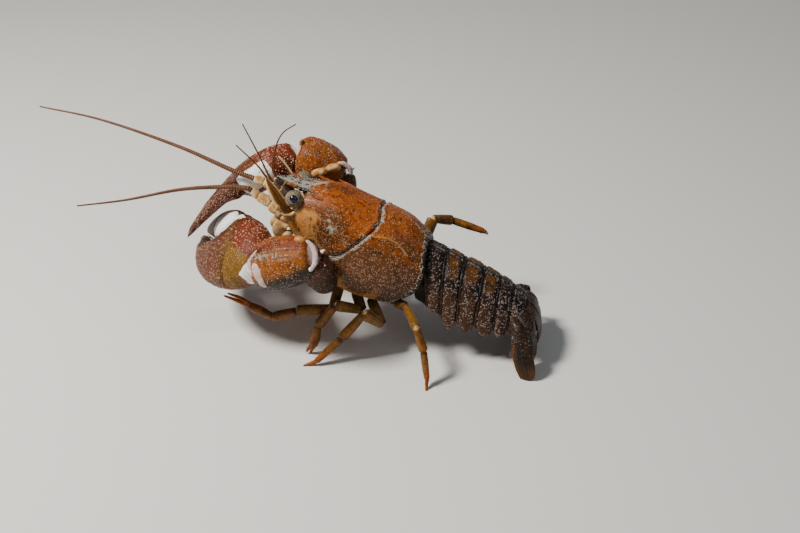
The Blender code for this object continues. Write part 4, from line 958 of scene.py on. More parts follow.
def make_rostrum():
    """The beak between the eyes, a trough with raised beaded edges, and the spines of the back."""
    shell = Shell()
    keys = [column(ROSTRUM, k) for k in (1, 2, 3)]
    outline = []
    for k in range(25):
        t = 1 - k / 12
        outline.append((-t, 0.15 + 0.45 * bump(abs(t), 0.9, 0.13) + 0.1 * bump(t, 0, 0.12)))
    outline += [(0.97, -0.2), (0.8, -0.65), (0.4, -0.95), (0, -1.05), (-0.4, -0.95), (-0.8, -0.65), (-0.97, -0.2)]
    rings = []
    for i in range(37):
        x = ROSTRUM_START + ROSTRUM_REACH * i / 36
        half, up, thick = (smooth_value(key, x) for key in keys)
        rings.append([(trunk(x, side * half, up + lift * thick), (x, side, lift)) for side, lift in outline])
    shell.loft(rings, trunk(32.4, 0, 20.0), trunk(52.2, 0, 17.45))
    for root, tip, half in BACK_SPINES:
        for side in (1, -1):
            tube(shell, placed(trunk, (root, tip), side),
                 ((0, half, half), (0.6, half * 0.6, half * 0.6), (1, 0.12, 0.12)),
                 Vector((0.1, 1, 0.2)), 12, 14, (0.3, 0.1), tag=1)

    def paint(place, point):
        if len(place) == 4:
            return 0.95, 0.0, 0.0, 0.4 * ramp(place[0], 0.75, 1.0)
        x, side, lift = place
        edge = bump(abs(side), 0.95, 0.12)
        ragged = lumps(point, 1.1, 2.0)
        silt = ramp(x + 1.5 * ragged, 38, 41) * ramp(ragged, -0.5, 0.1) * (lift > 0)
        dark = 0.8 * edge * ramp(ragged, -0.4, 0.3) + 0.8 * (lift < 0) + 0.4 * ramp(ragged, 0.2, 0.6)
        return 0.9 * ramp(x, 41, 38), 0.0, dark, 0.85 * silt * (1 - 0.6 * edge), 0.8 * ramp(x, 38, 42)

    def granule_chance(place, spot):
        if len(place) == 4 or place[2] <= 0:
            return 0
        return (0.9 - 0.5 * abs(place[1])) * ramp(place[0] + 2 * lumps(spot, 2), 37.5, 41)

    place_piece(shell, "rostrum", "rostrum_finish", None, paint)
    granules = Bits()
    granules.sprinkle(shell, 420, 7, granule_chance, 0.2, 0.3, 0.03, 30)
    set_bits("rostrum_granules", granules, pimple_bit(), "granule_finish")


# Abdomen and tail fan

def make_abdomen():
    """Six rings, each with a polished front half, a crease, a rear rim and a flap down each side."""
    granules = Bits()
    lobe_keys = ((-0.3, 0), (-0.02, 0.05), (0.06, 0.3), (0.3, 0.75), (0.62, 1.0), (0.9, 0.8), (1.0, 0.55))
    inset_keys = ((-0.3, 1.0), (-0.02, 0.8), (0.06, 0.35), (0.3, 0.0), (0.62, 0.0), (0.9, 0.05), (1.0, 0.3))
    for index, (ahead, behind) in enumerate(zip(ABDOMEN_STATIONS, ABDOMEN_STATIONS[1:])):
        shell = Shell()
        tuck = -0.28 if index else -0.75
        rings = []
        for i in range(27):
            share = tuck + (1 - tuck) * i / 26
            forward, top, low_forward, low, half = (a + (b - a) * share for a, b in zip(ahead, behind))
            inset = smooth_value(inset_keys, share)
            drop = PLEURON_DROP[index] * smooth_value(lobe_keys, share)
            half, top = half - inset, top - inset
            crease = 0.28 * bump(share, 0.2, 0.05) + 0.12 * bump(share, 0.9, 0.03)
            outline = []
            for k in range(57):
                angle = math.pi * k / 56
                height = abs(math.sin(angle)) ** 0.9
                outline.append(((half - crease) * signed_power(math.cos(angle), 0.8), height, -crease * height, 0.0))
            left_flap = [(half - 0.08 - 0.4 * t**3, 0.0, 0.0, drop * t) for t in (1.0, 0.85, 0.5)]
            right_flap = [(-s, h, lift, d) for s, h, lift, d in left_flap[::-1]]
            inner = half - PLEURON_THICKNESS
            under = [(-inner, 0.0, 0.0, drop * 0.9), (-inner + 0.4, 0.06, 0.0, 0.0), (0.0, 0.02, 0.0, 0.0),
                     (inner - 0.4, 0.06, 0.0, 0.0), (inner, 0.0, 0.0, drop * 0.9)]
            ring = []
            for side, height, lift, below in left_flap + outline + right_flap + under:
                ahead_here = low_forward + (forward - low_forward) * height
                up = low + (top - low) * height - below + lift
                ring.append((standing(ahead_here, side, up), (share, height, side, below)))
            rings.append(ring)
        middles = [sum((ring[k][0] for k in range(3, 60)), Vector()) / 57 for ring in (rings[0], rings[-1])]
        shell.loft(rings, *middles)

        def relief(place, point):
            share, height = place[:2]
            out = 0.3 * bump(share, 0.6, 0.2) * ramp(height, 1.0, 0.6) - 0.3 * bump(share, 0.2, 0.05)
            return (out + 0.1 * lumps(point, 1.6) + 0.06 * lumps(point, 0.6)) * (share > 0.05)

        def paint(place, point):
            share, height, side, below = place
            wobble = 0.22 * lumps(point, 3) + 0.1 * lumps(point, 1.0)
            ragged = lumps(point, 0.9, 3.0)
            warm = 0.0
            if index in (1, 2, 3):
                warm = 0.85 * ramp(height + wobble, 0.66, 0.98) * ramp(share + 0.3 * wobble, 0.22, 0.45)
                warm *= ramp(share + 0.3 * wobble, 0.93, 0.8) * ramp(abs(side), 0.8, 2.0)
            dark = 0.85 * ramp(share, 0.12, 0.02) + 0.5 * bump(share, 0.2, 0.035) + 0.5 * ramp(ragged, 0.1, 0.6)
            silt = 0.75 * bump(abs(side), 0, 0.9) * (height > 0.8) * ramp(ragged, -0.6, 0.2)
            silt += 0.5 * bump(share, 0.985, 0.03) * ramp(height, 0.75, 0.9)
            silt += 0.45 * ramp(below, 0.5, 3.0) * ramp(ragged, -0.2, 0.4)
            return (warm, 0, dark, silt * ramp(share, 0.0, 0.2), 0.2 + 0.3 * ramp(height, 0.8, 0.4) - warm,
                    0.75 * warm + 0.5 * ramp(share, 0.3, 0.15))

        place_piece(shell, f"abdomen_ring_{index + 1}", "abdomen_finish", f"abdomen_{index + 1}",
                    paint, relief)
        granules.sprinkle(shell, 620, 30 + index, lambda place, spot: ramp(place[0], 0.05, 0.3)
                          * (0.2 + 0.8 * ramp(place[1], 0.92, 0.7)) * ramp(lumps(spot, 1.6), -0.4, 0.2),
                          0.24, 0.3, 0.03, 12)
    set_bits("abdomen_granules", granules, pimple_bit(), "speck_finish")


def fan_leaf(name, node, path, half_widths, hint, side, bristles, seed):
    """One leaf of the tail fan with its midrib, veins and fringe."""
    shell = Shell()
    keys = [(i / (len(half_widths) - 1), half, FAN_HALF_THICKNESS * (1.5 if i < 1 else 1.0))
            for i, half in enumerate(half_widths)]
    points = placed(standing, path, side)
    across = direction(hint[0], hint[1] * side, hint[2])
    outer = "outer" in name
    tube(shell, points, keys, across, 40, 46, (0.6, 1.8), 1.6, side)

    def relief(place, point):
        share, a = place[:2]
        out = 0.22 * bump(a, 0.0, 0.09) * ramp(share, 1.0, 0.7) + 0.05 * math.cos(a * 40) * ramp(share, 0.5, 0.8)
        return out - 0.16 * bump(share, 0.62, 0.02) * outer + 0.05 * lumps(point, 0.8)

    def paint(place, point):
        share, a = place[:2]
        edge = ramp(abs(a), 0.72, 0.95)
        front = ramp(-a if outer else a, 0.3, 0.9)
        warm = 0.9 * front * outer * ramp(share, 0.15, 0.4) * ramp(abs(a), 0.3, 0.9)
        return (warm, 0.2 * edge * ramp(share, 0.7, 0.95), 0.6 * bump(abs(a), 0.15, 0.06) + 0.35 * ramp(a, 0.3, -0.4),
                0.4 * ramp(lumps(point, 1.5, 6.0), 0.0, 0.5) * ramp(share, 0.6, 0.2),
                0.3 + 0.25 * ramp(share, 0.5, 0.9), ramp(share, 0.35, 0.7))

    place_piece(shell, name, "fan_finish", node, paint, relief)
    pick = random.Random(seed)
    middle = smooth_path(points, 60)
    half_keys = column(keys, 1)
    for i in range(150):
        turn = math.pi * (i + pick.uniform(-0.4, 0.4)) / 149
        share = 0.5 + 0.47 * math.sin(turn)
        row = min(int(share * 60), 59)
        along = (middle[row + 1] - middle[row]).normalized()
        reach = math.cos(turn) * (smooth_value(half_keys, share) - 0.1)
        spot = middle[row] + across * (reach * MM)
        lean = (across * math.cos(turn) + along * math.sin(turn) * 1.2).normalized()
        if spot.z > 1.4 * MM:
            bristles.add(spot, lean + Vector((0, 0, pick.uniform(-0.1, 0.1))), 1.2)


def make_fan():
    """The telson and the four leaves of the tail fan."""
    bristles = Bits()
    roots = Shell()
    for side in (1, -1):
        tube(roots, placed(standing, FAN_INNER_ROOT, side), ((0, 2.4, 1.6), (0.5, 3.0, 1.6), (1, 2.6, 1.2)),
             direction(-0.3, -0.93 * side, 0.1), 28, 28, (1.2, 1.8), 2.0, 1)
        tube(roots, placed(standing, FAN_OUTER_ROOT, side), ((0, 2.2, 2.6), (0.5, 2.6, 3.4), (1, 2.0, 2.6)),
             Vector((1, 0, 0.3)), 24, 24, (1.2, 1.6))
    place_piece(roots, "fan_roots", "fan_finish", None,
                lambda place, point: (0.1, 0, 0.3, 0.4 * ramp(lumps(point, 1.5), 0.0, 0.4), 0.3),
                lambda place, point: 0.15 * lumps(point, 1.2))
    fan_leaf("telson_plate", "telson", TELSON_PATH, TELSON_HALF_WIDTHS, (0, 1, 0), 1, bristles, 11)
    for side, word in SIDES:
        fan_leaf("tail_leaf_inner_" + word, "tail_inner_" + word, ENDOPOD_PATH, ENDOPOD_HALF_WIDTHS,
                 (-0.30, -0.93, 0.0), side, bristles, 12 + side)
        fan_leaf("tail_leaf_outer_" + word, "tail_outer_" + word, EXOPOD_PATHS[side], EXOPOD_HALF_WIDTHS,
                 (-0.93, 0.12, 0.0), side, bristles, 15 + side)
    set_bits("tail_fringe", bristles, hair_bit(), "bristle_finish")


# Walking legs

def coxa_place(pair, side):
    """Where a leg leaves the keel; pair 5 is the rearmost."""
    return trunk(REAR_COXA + COXA_SPACING * (5 - pair), 4.6 * side, -0.6)


def make_leg(name, bristles):
    """One walking leg of six segments, with pale joints and bristles along its lower segments."""
    pair = int(name[4])
    side = 1 if name.endswith("left") else -1
    joints = [coxa_place(pair, side)] + placed(standing, LEGS[name])
    hint = (joints[3] - joints[2]).cross(joints[5] - joints[3]).normalized()
    pincer = pair in PINCER_LEGS
    palm = 0.95 if pincer else 0.72

    def scaled(*rows):
        """Tube keys from shares of the usual half width."""
        return [(share, LEG_HALF * across, LEG_HALF * deep) for share, across, deep in rows]

    upper = ((0, 1, ((0, 1.8, 2.0), (0.8, 1.9, 2.1), (1, 1.5, 1.6))),
             (1, 2, scaled((0, 0.75, 0.85), (0.3, 0.82, 1), (1, 0.8, 0.92))),
             (2, 3, scaled((0, 0.66, 0.8), (0.5, 0.78, 1.08), (0.93, 0.82, 1.16), (1, 0.74, 1.02))))
    lower = ((3, 4, scaled((0, 0.66, 0.76), (0.6, 0.8, 0.98), (0.94, 0.82, 1.0), (1, 0.7, 0.85))),
             (4, 5, scaled((0, 0.56, 0.62), (0.15, 0.64, 0.74), (0.6, 0.62, palm), (1, 0.5, palm * 0.75))),
             (5, 6, scaled((0, 0.42, 0.5), (0.4, 0.34, 0.38)) + [(1, 0.3, 0.32)]))
    for group, part in ((upper, "upper"), (lower, "lower")):
        shell = Shell()
        for start, end, keys in group:
            along = (joints[end] - joints[start]).normalized()
            first = joints[start] - along * 0.35 * MM
            last = joints[end] + along * (0.35 * MM if end < 6 else 0.0)
            tube(shell, [first, last], keys, hint, 18, 22, (0.9, 0.9 if end < 6 else 0.6), 2.1, end)
        if pincer and part == "lower":
            along = (joints[6] - joints[5]).normalized()
            aside = along.cross(hint).normalized()
            aside = -aside if aside.z < 0 else aside
            start = joints[5] - along * 0.6 * MM + aside * 0.5 * MM
            end = joints[5] + along * ((joints[6] - joints[5]).length * 0.9) + aside * 1.3 * MM
            tube(shell, [start, start.lerp(end, 0.5) + aside * 0.4 * MM, end],
                 ((0, 0.8, 0.8), (0.5, 0.6, 0.62), (1, 0.25, 0.28)), hint, 14, 18, (0.6, 0.5), tag=6)
        for p in shell.points:
            p.z = max(p.z, 0.0)

        def paint(place, point):
            share, _, d, tag = place
            pale = 0.5 * ramp(share, 0.06, 0.02) + 0.6 * ramp(share, 0.95, 0.985) * (tag < 6)
            warm = {5: 0.2 + 0.6 * ramp(share, 0.2, 0.9), 6: 0.95, 4: 0.2}.get(tag, 0.1)
            warm += 0.4 * lumps(point, 3)
            dark = 0.5 * ramp(lumps(point, 2.0, 1.0), 0.0, 0.6) + 0.35 * (tag < 3) + 0.8 * bump(share, 0.1, 0.025)
            dark += 0.3 * (tag in (4, 5)) * ramp(d, 0.3, -0.6) + 0.5 * bump(share, 0.9, 0.02) * (tag < 6)
            silt = 0.35 * ramp(lumps(point, 1.3, 3.0), 0.1, 0.5)
            return warm, pale, dark, silt, 0.5 * ramp(lumps(point, 3, 7.0), -0.1, 0.4)

        place_piece(shell, f"{name}_{part}_limb", "leg_finish", f"{name}_{part}", paint,
                    lambda place, point: 0.03 * lumps(point, 1.2))
        seed = pair * 10 + side
        if part == "lower":
            bristles.sprinkle(shell, 70, seed, lambda place, spot: (place[3] > 4) * (spot.z > 2 * MM), 0.9)
        else:
            bristles.sprinkle(shell, 24, seed + 3, lambda place, spot: place[3] == 3, 0.8)


def make_legs():
    """The eight walking legs."""
    bristles = Bits()
    for name in LEGS:
        make_leg(name, bristles)
    set_bits("leg_bristles", bristles, hair_bit(), "bristle_finish")


# Claws

def claw_frame(side):
    """Wrist, axis, back direction and inner direction of one claw."""
    axis = direction(*CLAW_AXES[side])
    back = direction(*CLAW_BACKS[side])
    back = (back - axis * back.dot(axis)).normalized()
    inner = axis.cross(back) if side > 0 else back.cross(axis)
    return standing(*CLAW_ARMS[side][3]), axis, back, inner


def claw_place(side, along, across, deep=0.0):
    """A point of the claw: along its axis, across towards the thumb side, and deep towards its back."""
    wrist, axis, back, inner = claw_frame(side)
    share = along / CLAW_REACH
    bow = CLAW_BOW * 4 * share * (1 - share)
    return wrist + (axis * along + inner * across + back * (bow + deep)) * (CLAW_SCALES[side] * MM)


def finger_slimming(side, along):
    """Share of its depth that a finger of the right claw lacks on its inner face."""
    return SLIM_SHARE * ramp(along, SLIM_START, SLIM_END) if side < 0 else 0.0


def claw_shell(side, rows, tip, start_dome, count=70, sides=44):
    """A claw finger's shell from (along, edge, other edge, half depth) rows."""
    shell = Shell()
    rows = [(along, low, high * THUMB_SIDE_WIDTHS[side], deep) for along, low, high, deep in rows]
    keys = [[(row[0], row[k]) for row in rows] for k in (1, 2, 3)]
    begin, end = rows[0][0], rows[-1][0]
    rings = []
    for i in range(-9, count + 1):
        if i < 0:
            swell = math.sin(math.pi / 2 * (i + 10) / 10)
            along = begin - start_dome * math.cos(math.pi / 2 * (i + 10) / 10)
        else:
            swell = 1.0
            along = begin + (end - begin) * i / count
        low, high, deep = (smooth_value(key, along) for key in keys)
        middle, half = (low + high) / 2, (high - low) / 2 * swell
        gone = finger_slimming(side, along) / 2
        ring = []
        for angle in circle(sides, 0.5):
            a, d = (signed_power(turn, 2 / CLAW_ROUNDING) for turn in (math.cos(angle), math.sin(angle)))
            point = claw_place(side, along, middle + a * half, deep * (d * (1 - gone) * swell + gone))
            ring.append((point, (along, middle + a * half, d, a)))
        rings.append(ring)
    middle = (keys[0][0][1] + keys[1][0][1]) / 2
    shell.loft(rings, claw_place(side, begin - start_dome * 1.01, middle), claw_place(side, *tip))
    return shell


def make_palm(side, word, pimples, teeth):
    """Palm and fixed finger."""
    shell = claw_shell(side, PALM, (50.0, -1.2), 2.2)

    def past_crease(place):
        """How far a place lies beyond the crease of the back, towards the fingers."""
        return place[0] - smooth_value(PALM_CREASE, place[1])

    def paint(place, point):
        along, across, d, a = place
        wobble = 1.2 * lumps(point, 5) + 0.5 * lumps(point, 1.5)
        back = ramp(d, -0.3, 0.1)
        inner_edge = ramp(a, 0.72, 0.9)
        if side > 0:
            past = past_crease(place)
            near = ramp(past + 0.3 * wobble, 0.5, -0.5) * back
            red = near * ramp(across + wobble, 1.0, 3.5)
            olive = near * (1 - red) + 0.5 * bump(past, 1.5, 1.5) * back
            edge = smooth_value(PALM_PATCH_EDGE, across)
            patch = ramp(along + 0.5 * wobble, edge - 0.3, edge + 0.3) * ramp(across, 2.2, 3.6) * ramp(along, 25, 22)
            patch *= ramp(d, -0.5, -0.1) * ramp(a, 0.95, 0.88)
            # Painted shade: a dark line along the crease of the back, standing in for the shade in that crease.
            dark = 0.95 * bump(past + 0.15 * wobble, 0, 0.28) * back * ramp(across, 9, 6)
        else:
            red = ramp(along + wobble, 15, 8)
            olive = 0.0
            patch = ramp(a, 0.62, 0.8) * ramp(along + 0.6 * wobble, 7.5, 9.5) * ramp(along, 22, 20)
            patch *= ramp(abs(d), 0.75, 0.45)
            dark = 0.3 * ramp(along, 22, 30)
        red += ramp(d + 0.1 * wobble, -0.3, -0.6)
        dark += 0.55 * ramp(along, 34, 48) + 0.2 * bump(across, -0.4, 0.8) * ramp(along, 23, 26)
        dark += 0.35 * inner_edge * ramp(along, 14, 19) * (1 - patch)
        pale = 1.2 * patch + 0.7 * ramp(along, 0.2, -1.2)
        pale += 0.8 * (side > 0) * ramp(along + 1.5 * wobble, 1.3, -0.3) * ramp(across, 4, 0)
        return red, pale, dark, 0.2 * ramp(lumps(point, 3, 8.0), 0.1, 0.6), olive, 0.9 * patch

    def relief(place, point):
        along, across, d = place[:3]
        back = ramp(d, -0.3, 0.3)
        if side > 0:
            past = past_crease(place)
            out = -0.4 * bump(past, 0, 0.45) * back + 0.35 * ramp(past, 0.0, 1.2) * ramp(past, 7.0, 1.5) * back
        else:
            out = 0.0
        out -= 0.5 * bump(across, -3.2, 1.0) * ramp(along, 24, 28) * ramp(d, 0.1, 0.6)
        return out + 0.12 * lumps(point, 3) + 0.06 * lumps(point, 0.8)

    place_piece(shell, "claw_hand_" + word, "claw_finish", "claw_palm_" + word, paint, relief)
    radius = bpy.context.scene.crayfish_sizes.pimple_radius
    fine = Bits()
    pimples.sprinkle(shell, 260, 40 + side, lambda place, spot: ramp(place[1], 1.5, 4) * ramp(place[0], 13, 9)
                     if place[0] > 0.5 else 0, radius * 1.35, 0.62, 0.04)
    fine.sprinkle(shell, 1100, 42 + side, lambda place, spot: 0.3 + 0.7 * ramp(past_crease(place), -1, 1)
                     if place[0] > 1 and not (16 < place[0] < 24 and place[1] > 4) else 0, radius * 1.2, 0.4, 0.06)
    set_bits("claw_flecks_" + word, fine, pimple_bit(), "fleck_finish")
    for i in range(11):
        along = 25 + 2.1 * i
        teeth.add(claw_place(side, along, -0.15), claw_frame(side)[3], 0.75 if i in (2, 5) else 0.5)


def make_dactyl(side, word, pimples, teeth):
    """The movable finger, with the white patch over its hinge."""
    shell = claw_shell(side, DACTYL, (49.6, 1.0), 1.2, 60, 36)

    def paint(place, point):
        along, _, d, a = place
        patch = ramp(along + lumps(point, 3), 34, 30.5) * ramp(d, -0.5, -0.1)
        reach = 0.66 + 0.2 * ramp(along, 34, 28)
        if side > 0:
            patch *= ramp(a, reach + 0.08, reach)
        else:
            patch *= ramp(a, 0.3, 0.6) * ramp(abs(d), 0.75, 0.45) * ramp(along, 22, 20)
        dark = (0.1 + 0.2 * ramp(along, 36, 46) + 0.3 * ramp(lumps(point, 1.5), 0.0, 0.5)) * (1 - patch)
        silt = 0.2 * ramp(lumps(point, 3, 8.0), 0.1, 0.6)
        return 0.35 * ramp(d, -0.2, -0.6), 1.3 * patch, dark, silt, 0.0, 0.9 * patch

    place_piece(shell, "claw_thumb_" + word, "claw_finish", "claw_finger_" + word, paint,
                lambda place, point: 0.1 * lumps(point, 2.5) + 0.05 * lumps(point, 0.9))
    pimples.sprinkle(shell, 620, 50 + side, lambda place, spot: 0.9 if place[0] > 33 or place[3] > 0.6 else 0,
                     bpy.context.scene.crayfish_sizes.pimple_radius * 0.75, 0.45, 0.03)
    for i in range(10):
        along = 26 + 2.2 * i
        teeth.add(claw_place(side, along, 1.05), -claw_frame(side)[3], 0.7 if i in (1, 4) else 0.48)


def make_wrist(side, word, pimples):
    """The wrist block of a claw: a creased back, pale rims and spines on its inner side."""
    shell = Shell()
    elbow = standing(*CLAW_ARMS[side][2])
    wrist, _, _, inner = claw_frame(side)
    start, end = elbow + (wrist - elbow) * -0.16, elbow + (wrist - elbow) * 0.985
    tube(shell, [start, end], WRIST_KEYS, inner, 56, 66, (1.6, 1.2), 2.3)
    along = (end - start).normalized()
    across = (inner - along * inner.dot(along)).normalized()
    top = (Vector((0, 0, 1)) - along * along.z).normalized()
    add_spines(shell, start, end, across, along.cross(across), 0.5, 5.6, (1.1, 0.8, 0.12), 14, WRIST_SPINES)
    aside = along.cross(top)
    aside = -aside if aside.dot(direction(0, side, 0)) < 0 else aside

    def turn_of(point):
        """Degrees round the wrist from its top towards the outer side."""
        away = point - start
        return math.degrees(math.atan2(away.dot(aside), away.dot(top)))

    def from_groove(share, point):
        """Degrees from the groove of the wrist's outer side, which climbs towards the hand."""
        return turn_of(point) - (52 - 16 * share)
    def paint(place, point):
        share, tag = place[0], place[3]
        if tag:
            return 0.5, 0.8 * ramp(share, 0.6, 0.9), 0, 0, 0.3
        turn = turn_of(point) + 10 * lumps(point, 5)
        groove = from_groove(share, point) + 5 * lumps(point, 1.2)
        ragged = lumps(point, 0.8, 3.0)
        if side > 0:
            warm = 0.7 * ramp(turn, 108, 84) * ramp(turn, -40, -10)
            third = 0.6 * ramp(groove, -4, -16) * ramp(turn, -20, 0)
            # The last term here is painted shade: the wrist's underside is made almost black.
            dark = 0.85 * bump(groove, -14, 6) * ramp(share, 0.5, 0.75) + 0.97 * ramp(turn, 88, 112)
            dark += 0.5 * bump(groove, 7, 5) + 0.4 * ramp(turn, 0, -60)
            silt = 0.95 * bump(groove, 0, 9) * ramp(share, 0.3, 0.5) * ramp(ragged, -0.5, 0.1)
            silt += 0.45 * bump(groove, -22, 12) * ramp(share, 0.5, 0.8) * ramp(ragged, -0.2, 0.4)
        else:
            warm = 0.75 + 0.25 * lumps(point, 3)
            third = 0.5 * ramp(lumps(point, 4, 2.0), -0.1, 0.3)
            # Its first term is painted shade: the far wrist darkens towards its underside.
            dark = 0.45 * ramp(turn, 60, 120) + 0.3 * ramp(lumps(point, 2, 6.0), 0.1, 0.5)
            silt = 0.3 * ramp(ragged, 0.2, 0.6)
        pale = 0.8 * ramp(share, 0.96, 0.985) + 0.6 * ramp(share, 0.05, 0.02)
        return warm, pale, dark, silt, third

    def relief(place, point):
        share, tag = place[0], place[3]
        if tag:
            return 0
        groove = from_groove(share, point)
        ridge = -0.45 * bump(groove, 0, 7) + 0.3 * bump(groove, 16, 8) + 0.3 * bump(groove, -16, 8)
        return (ridge * ramp(share, 0.1, 0.3) * ramp(share, 1.0, 0.85) - 0.35 * bump(share, 0.93, 0.025)
                + 0.14 * lumps(point, 2.5) + 0.06 * lumps(point, 0.8))

    place_piece(shell, "claw_cuff_" + word, "wrist_finish", "claw_wrist_" + word, paint, relief)
    pimples.sprinkle(shell, 600, 60 + side, lambda place, spot: 0.9 * (0.08 < place[0] < 0.92), 0.17, 0.5, 0.04)
    if side > 0:
        silt = Bits()
        silt.sprinkle(shell, 160, 66, lambda place, spot: 0 if place[3] else
                      bump(from_groove(place[0], spot) + 6 * lumps(spot, 1.5), 0, 5) * ramp(place[0], 0.3, 0.5),
                      0.2, 0.3, 0.03, 60)
        set_bits("wrist_granules", silt, pimple_bit(), "granule_finish")


def make_joint_rims(side, word):
    """The soft pale strips, flaps and knobs where wrist meets hand and arm meets wrist."""
    shell = Shell()
    elbow, wrist = placed(standing, CLAW_ARMS[side][2:])
    fore = (wrist - elbow).normalized()
    for tag, (half, thick, path) in enumerate(JOINT_RIMS[side]):
        points = placed(standing, path)
        middle = points[len(points) // 2]
        away = middle - elbow
        outward = (away - fore * away.dot(fore)).normalized()
        hint = outward.cross(points[-1] - points[0]).normalized()
        tube(shell, points, ((0, half * 0.6, thick * 0.8), (0.3, half, thick), (0.75, half, thick),
                             (1, half * 0.8, thick * 0.8)), hint, 18, 40, (half * 0.8, half), 2.0, tag)

    def paint(place, point):
        knob = place[3] in KNOB_RIMS[side]
        dark = 0.3 * ramp(lumps(point, 1.2, 2.0), 0.2, 0.6)
        return (0.8 if knob else 0.1 * lumps(point, 3), 0.25 + 0.4 * lumps(point, 2), dark, 0.0,
                (0.95 if knob else 0.3) * ramp(lumps(point, 1.3, 4.0), -0.5, 0.2))

    place_piece(shell, "claw_rims_" + word, "rim_finish", None, paint,
                lambda place, point: 0.15 * lumps(point, 1.4) + 0.05 * lumps(point, 0.6))


def make_arm(side, word, pimples):
    """Upper arm and arm base of a claw."""
    root, first, last, wrist = placed(standing, CLAW_ARMS[side])
    shell = Shell()
    hint = (last - first).cross(wrist - last).normalized()
    tube(shell, [first, first.lerp(last, 0.97)], ARM_KEYS, hint, 36, 44, (1.2, 1.4), 2.2)
    deep = (last - first).normalized().cross(hint)
    add_spines(shell, first, last, deep, hint, 0.45, 4.0, (0.95, 0.65, 0.1), 12, ARM_SPINES)

    def paint(place, point):
        share, tag = place[0], place[3]
        if tag:
            return 0.5, 0.9 * ramp(share, 0.4, 0.7), 0, 0
        # The dark share is painted shade: the arm is darker towards its base, where it lies under the carapace.
        return (0.6 * ramp(lumps(point, 5), -0.2, 0.4), 0.5 * ramp(share, 0.95, 0.98),
                0.8 - 0.5 * ramp(share, 0.5, 0.9), 0.25 * ramp(lumps(point, 2, 5.0), 0.1, 0.5),
                0.5 * ramp(lumps(point, 4, 1.0), 0.0, 0.4))

    place_piece(shell, "claw_upper_arm_" + word, "claw_finish", "claw_arm_" + word, paint,
                lambda place, point: 0 if place[3] else 0.1 * lumps(point, 2.5) + 0.04 * lumps(point, 0.9))
    pimples.sprinkle(shell, 300, 70 + side, lambda place, spot: 0.7 * (place[3] == 0) * (place[0] > 0.2),
                     0.14, 0.6, 0.03)
    base = Shell()
    hint = Vector((1, 0, 0.2))
    tube(base, [coxa_place(1, side), root], ((0, 2.7, 2.9), (1, 2.9, 3.1)), hint, 24, 24)
    tube(base, [root, first], ((0, 2.7, 2.9), (0.6, 2.9, 3.1), (1, 2.8, 3.0)), hint, 24, 24)
    place_piece(base, "claw_shoulder_" + word, "leg_finish", "claw_arm_base_" + word,
                lambda place, point: (0.4, 0.7 * ramp(place[0], 0.88, 0.97), 0.4, 0.2))


def make_claws():
    """Both claws with their pimples and teeth."""
    for side, word in SIDES:
        pimples, teeth = Bits(), Bits()
        make_palm(side, word, pimples, teeth)
        make_dactyl(side, word, pimples, teeth)
        make_wrist(side, word, pimples)
        make_joint_rims(side, word)
        make_arm(side, word, pimples)
        set_bits("claw_pimples_" + word, pimples, pimple_bit(), "pimple_finish")
        set_bits("claw_teeth_" + word, teeth, pimple_bit(), "tooth_finish")


# Head and underside

def make_eyes():
    """Eyes on their stalks: a speckled grey bulb with a dark glossy cornea let into it."""
    for side, word in SIDES:
        root, centre = placed(trunk, (EYE_STALK_ROOT, EYE_CENTRE), side)
        look = trunk_direction(CORNEA_LOOK[0], CORNEA_LOOK[1] * side, CORNEA_LOOK[2])
        along = (centre - root).normalized()
        length = (centre - root).length / MM + EYE_BULB
        end = root + along * (length * MM)
        neck = 1 - 2 * EYE_BULB / length
        shell = Shell()
        halves = ((0, EYE_STALK), (neck * 0.9, EYE_STALK + 0.05), (neck + 0.12, EYE_BULB * 0.9),
                  (1 - EYE_BULB / length, EYE_BULB), (1, EYE_BULB))
        tube(shell, [root, end], [(share, half, half) for share, half in halves], look, 40, 44, (0.5, EYE_BULB))

        def paint(place, point):
            away = (point - centre).normalized().dot(look)
            rim = bump(away, 0.84, 0.03)
            # The first dark term is painted shade: the stalk is nearly black from its root up to the bulb, where it
            # sits in the socket.
            return (0.3, 0.15 * rim, 0.9 * ramp(place[0], 0.42, 0.3) + 0.45 * bump(away, 0.79, 0.03)
                    + 0.35 * ramp(lumps(point, 0.7, 2.0), 0.0, 0.4), 0.7 * ramp(lumps(point, 0.6), 0.0, 0.3), 0.35)

        def relief(place, point):
            away = (point - centre).normalized().dot(look)
            return -0.3 * bump(place[0], 0.36, 0.06) + 0.12 * bump(away, 0.78, 0.06) + 0.05 * lumps(point, 0.7)

        place_piece(shell, "eye_bulb_" + word, "stalk_finish", "eyestalk_" + word, paint, relief)
        orbit = Shell()
        rear = trunk_direction(-1, 0, 0)
        rear = (rear - look * rear.dot(look)).normalized()
        above = (trunk_direction(0, 0, 1) - look * trunk_direction(0, 0, 1).dot(look))
        above = (above - rear * above.dot(rear)).normalized()
        path = []
        for degrees in (62, 35, 8, -19, -46, -73):
            angle = math.radians(degrees)
            path.append(centre + (rear * math.cos(angle) + above * math.sin(angle)) * (3.15 * MM) - look * (0.2 * MM))
        tube(orbit, path, ((0, 0.3, 0.4), (0.3, 0.42, 0.6), (0.7, 0.42, 0.6), (1, 0.3, 0.3)), look, 14, 50, (0.5, 0.4))
        place_piece(orbit, "orbit_rim_" + word, "base_finish", None,
                    lambda place, point: (0.6, 0.15, 0.5 * ramp(lumps(point, 0.8), 0.0, 0.4), 0.7, 0.4))
        cornea = Shell()
        middle = centre + look * ((EYE_BULB - 1.05) * MM)
        tube(cornea, [middle - look * (1.2 * MM), middle + look * (1.35 * MM)],
             ((0, CORNEA, CORNEA * 0.94), (1, CORNEA, CORNEA * 0.94)), along, 36, 36, (1.0, 1.4))
        place_piece(cornea, "eye_cornea_" + word, "cornea_finish", "eye_" + word)


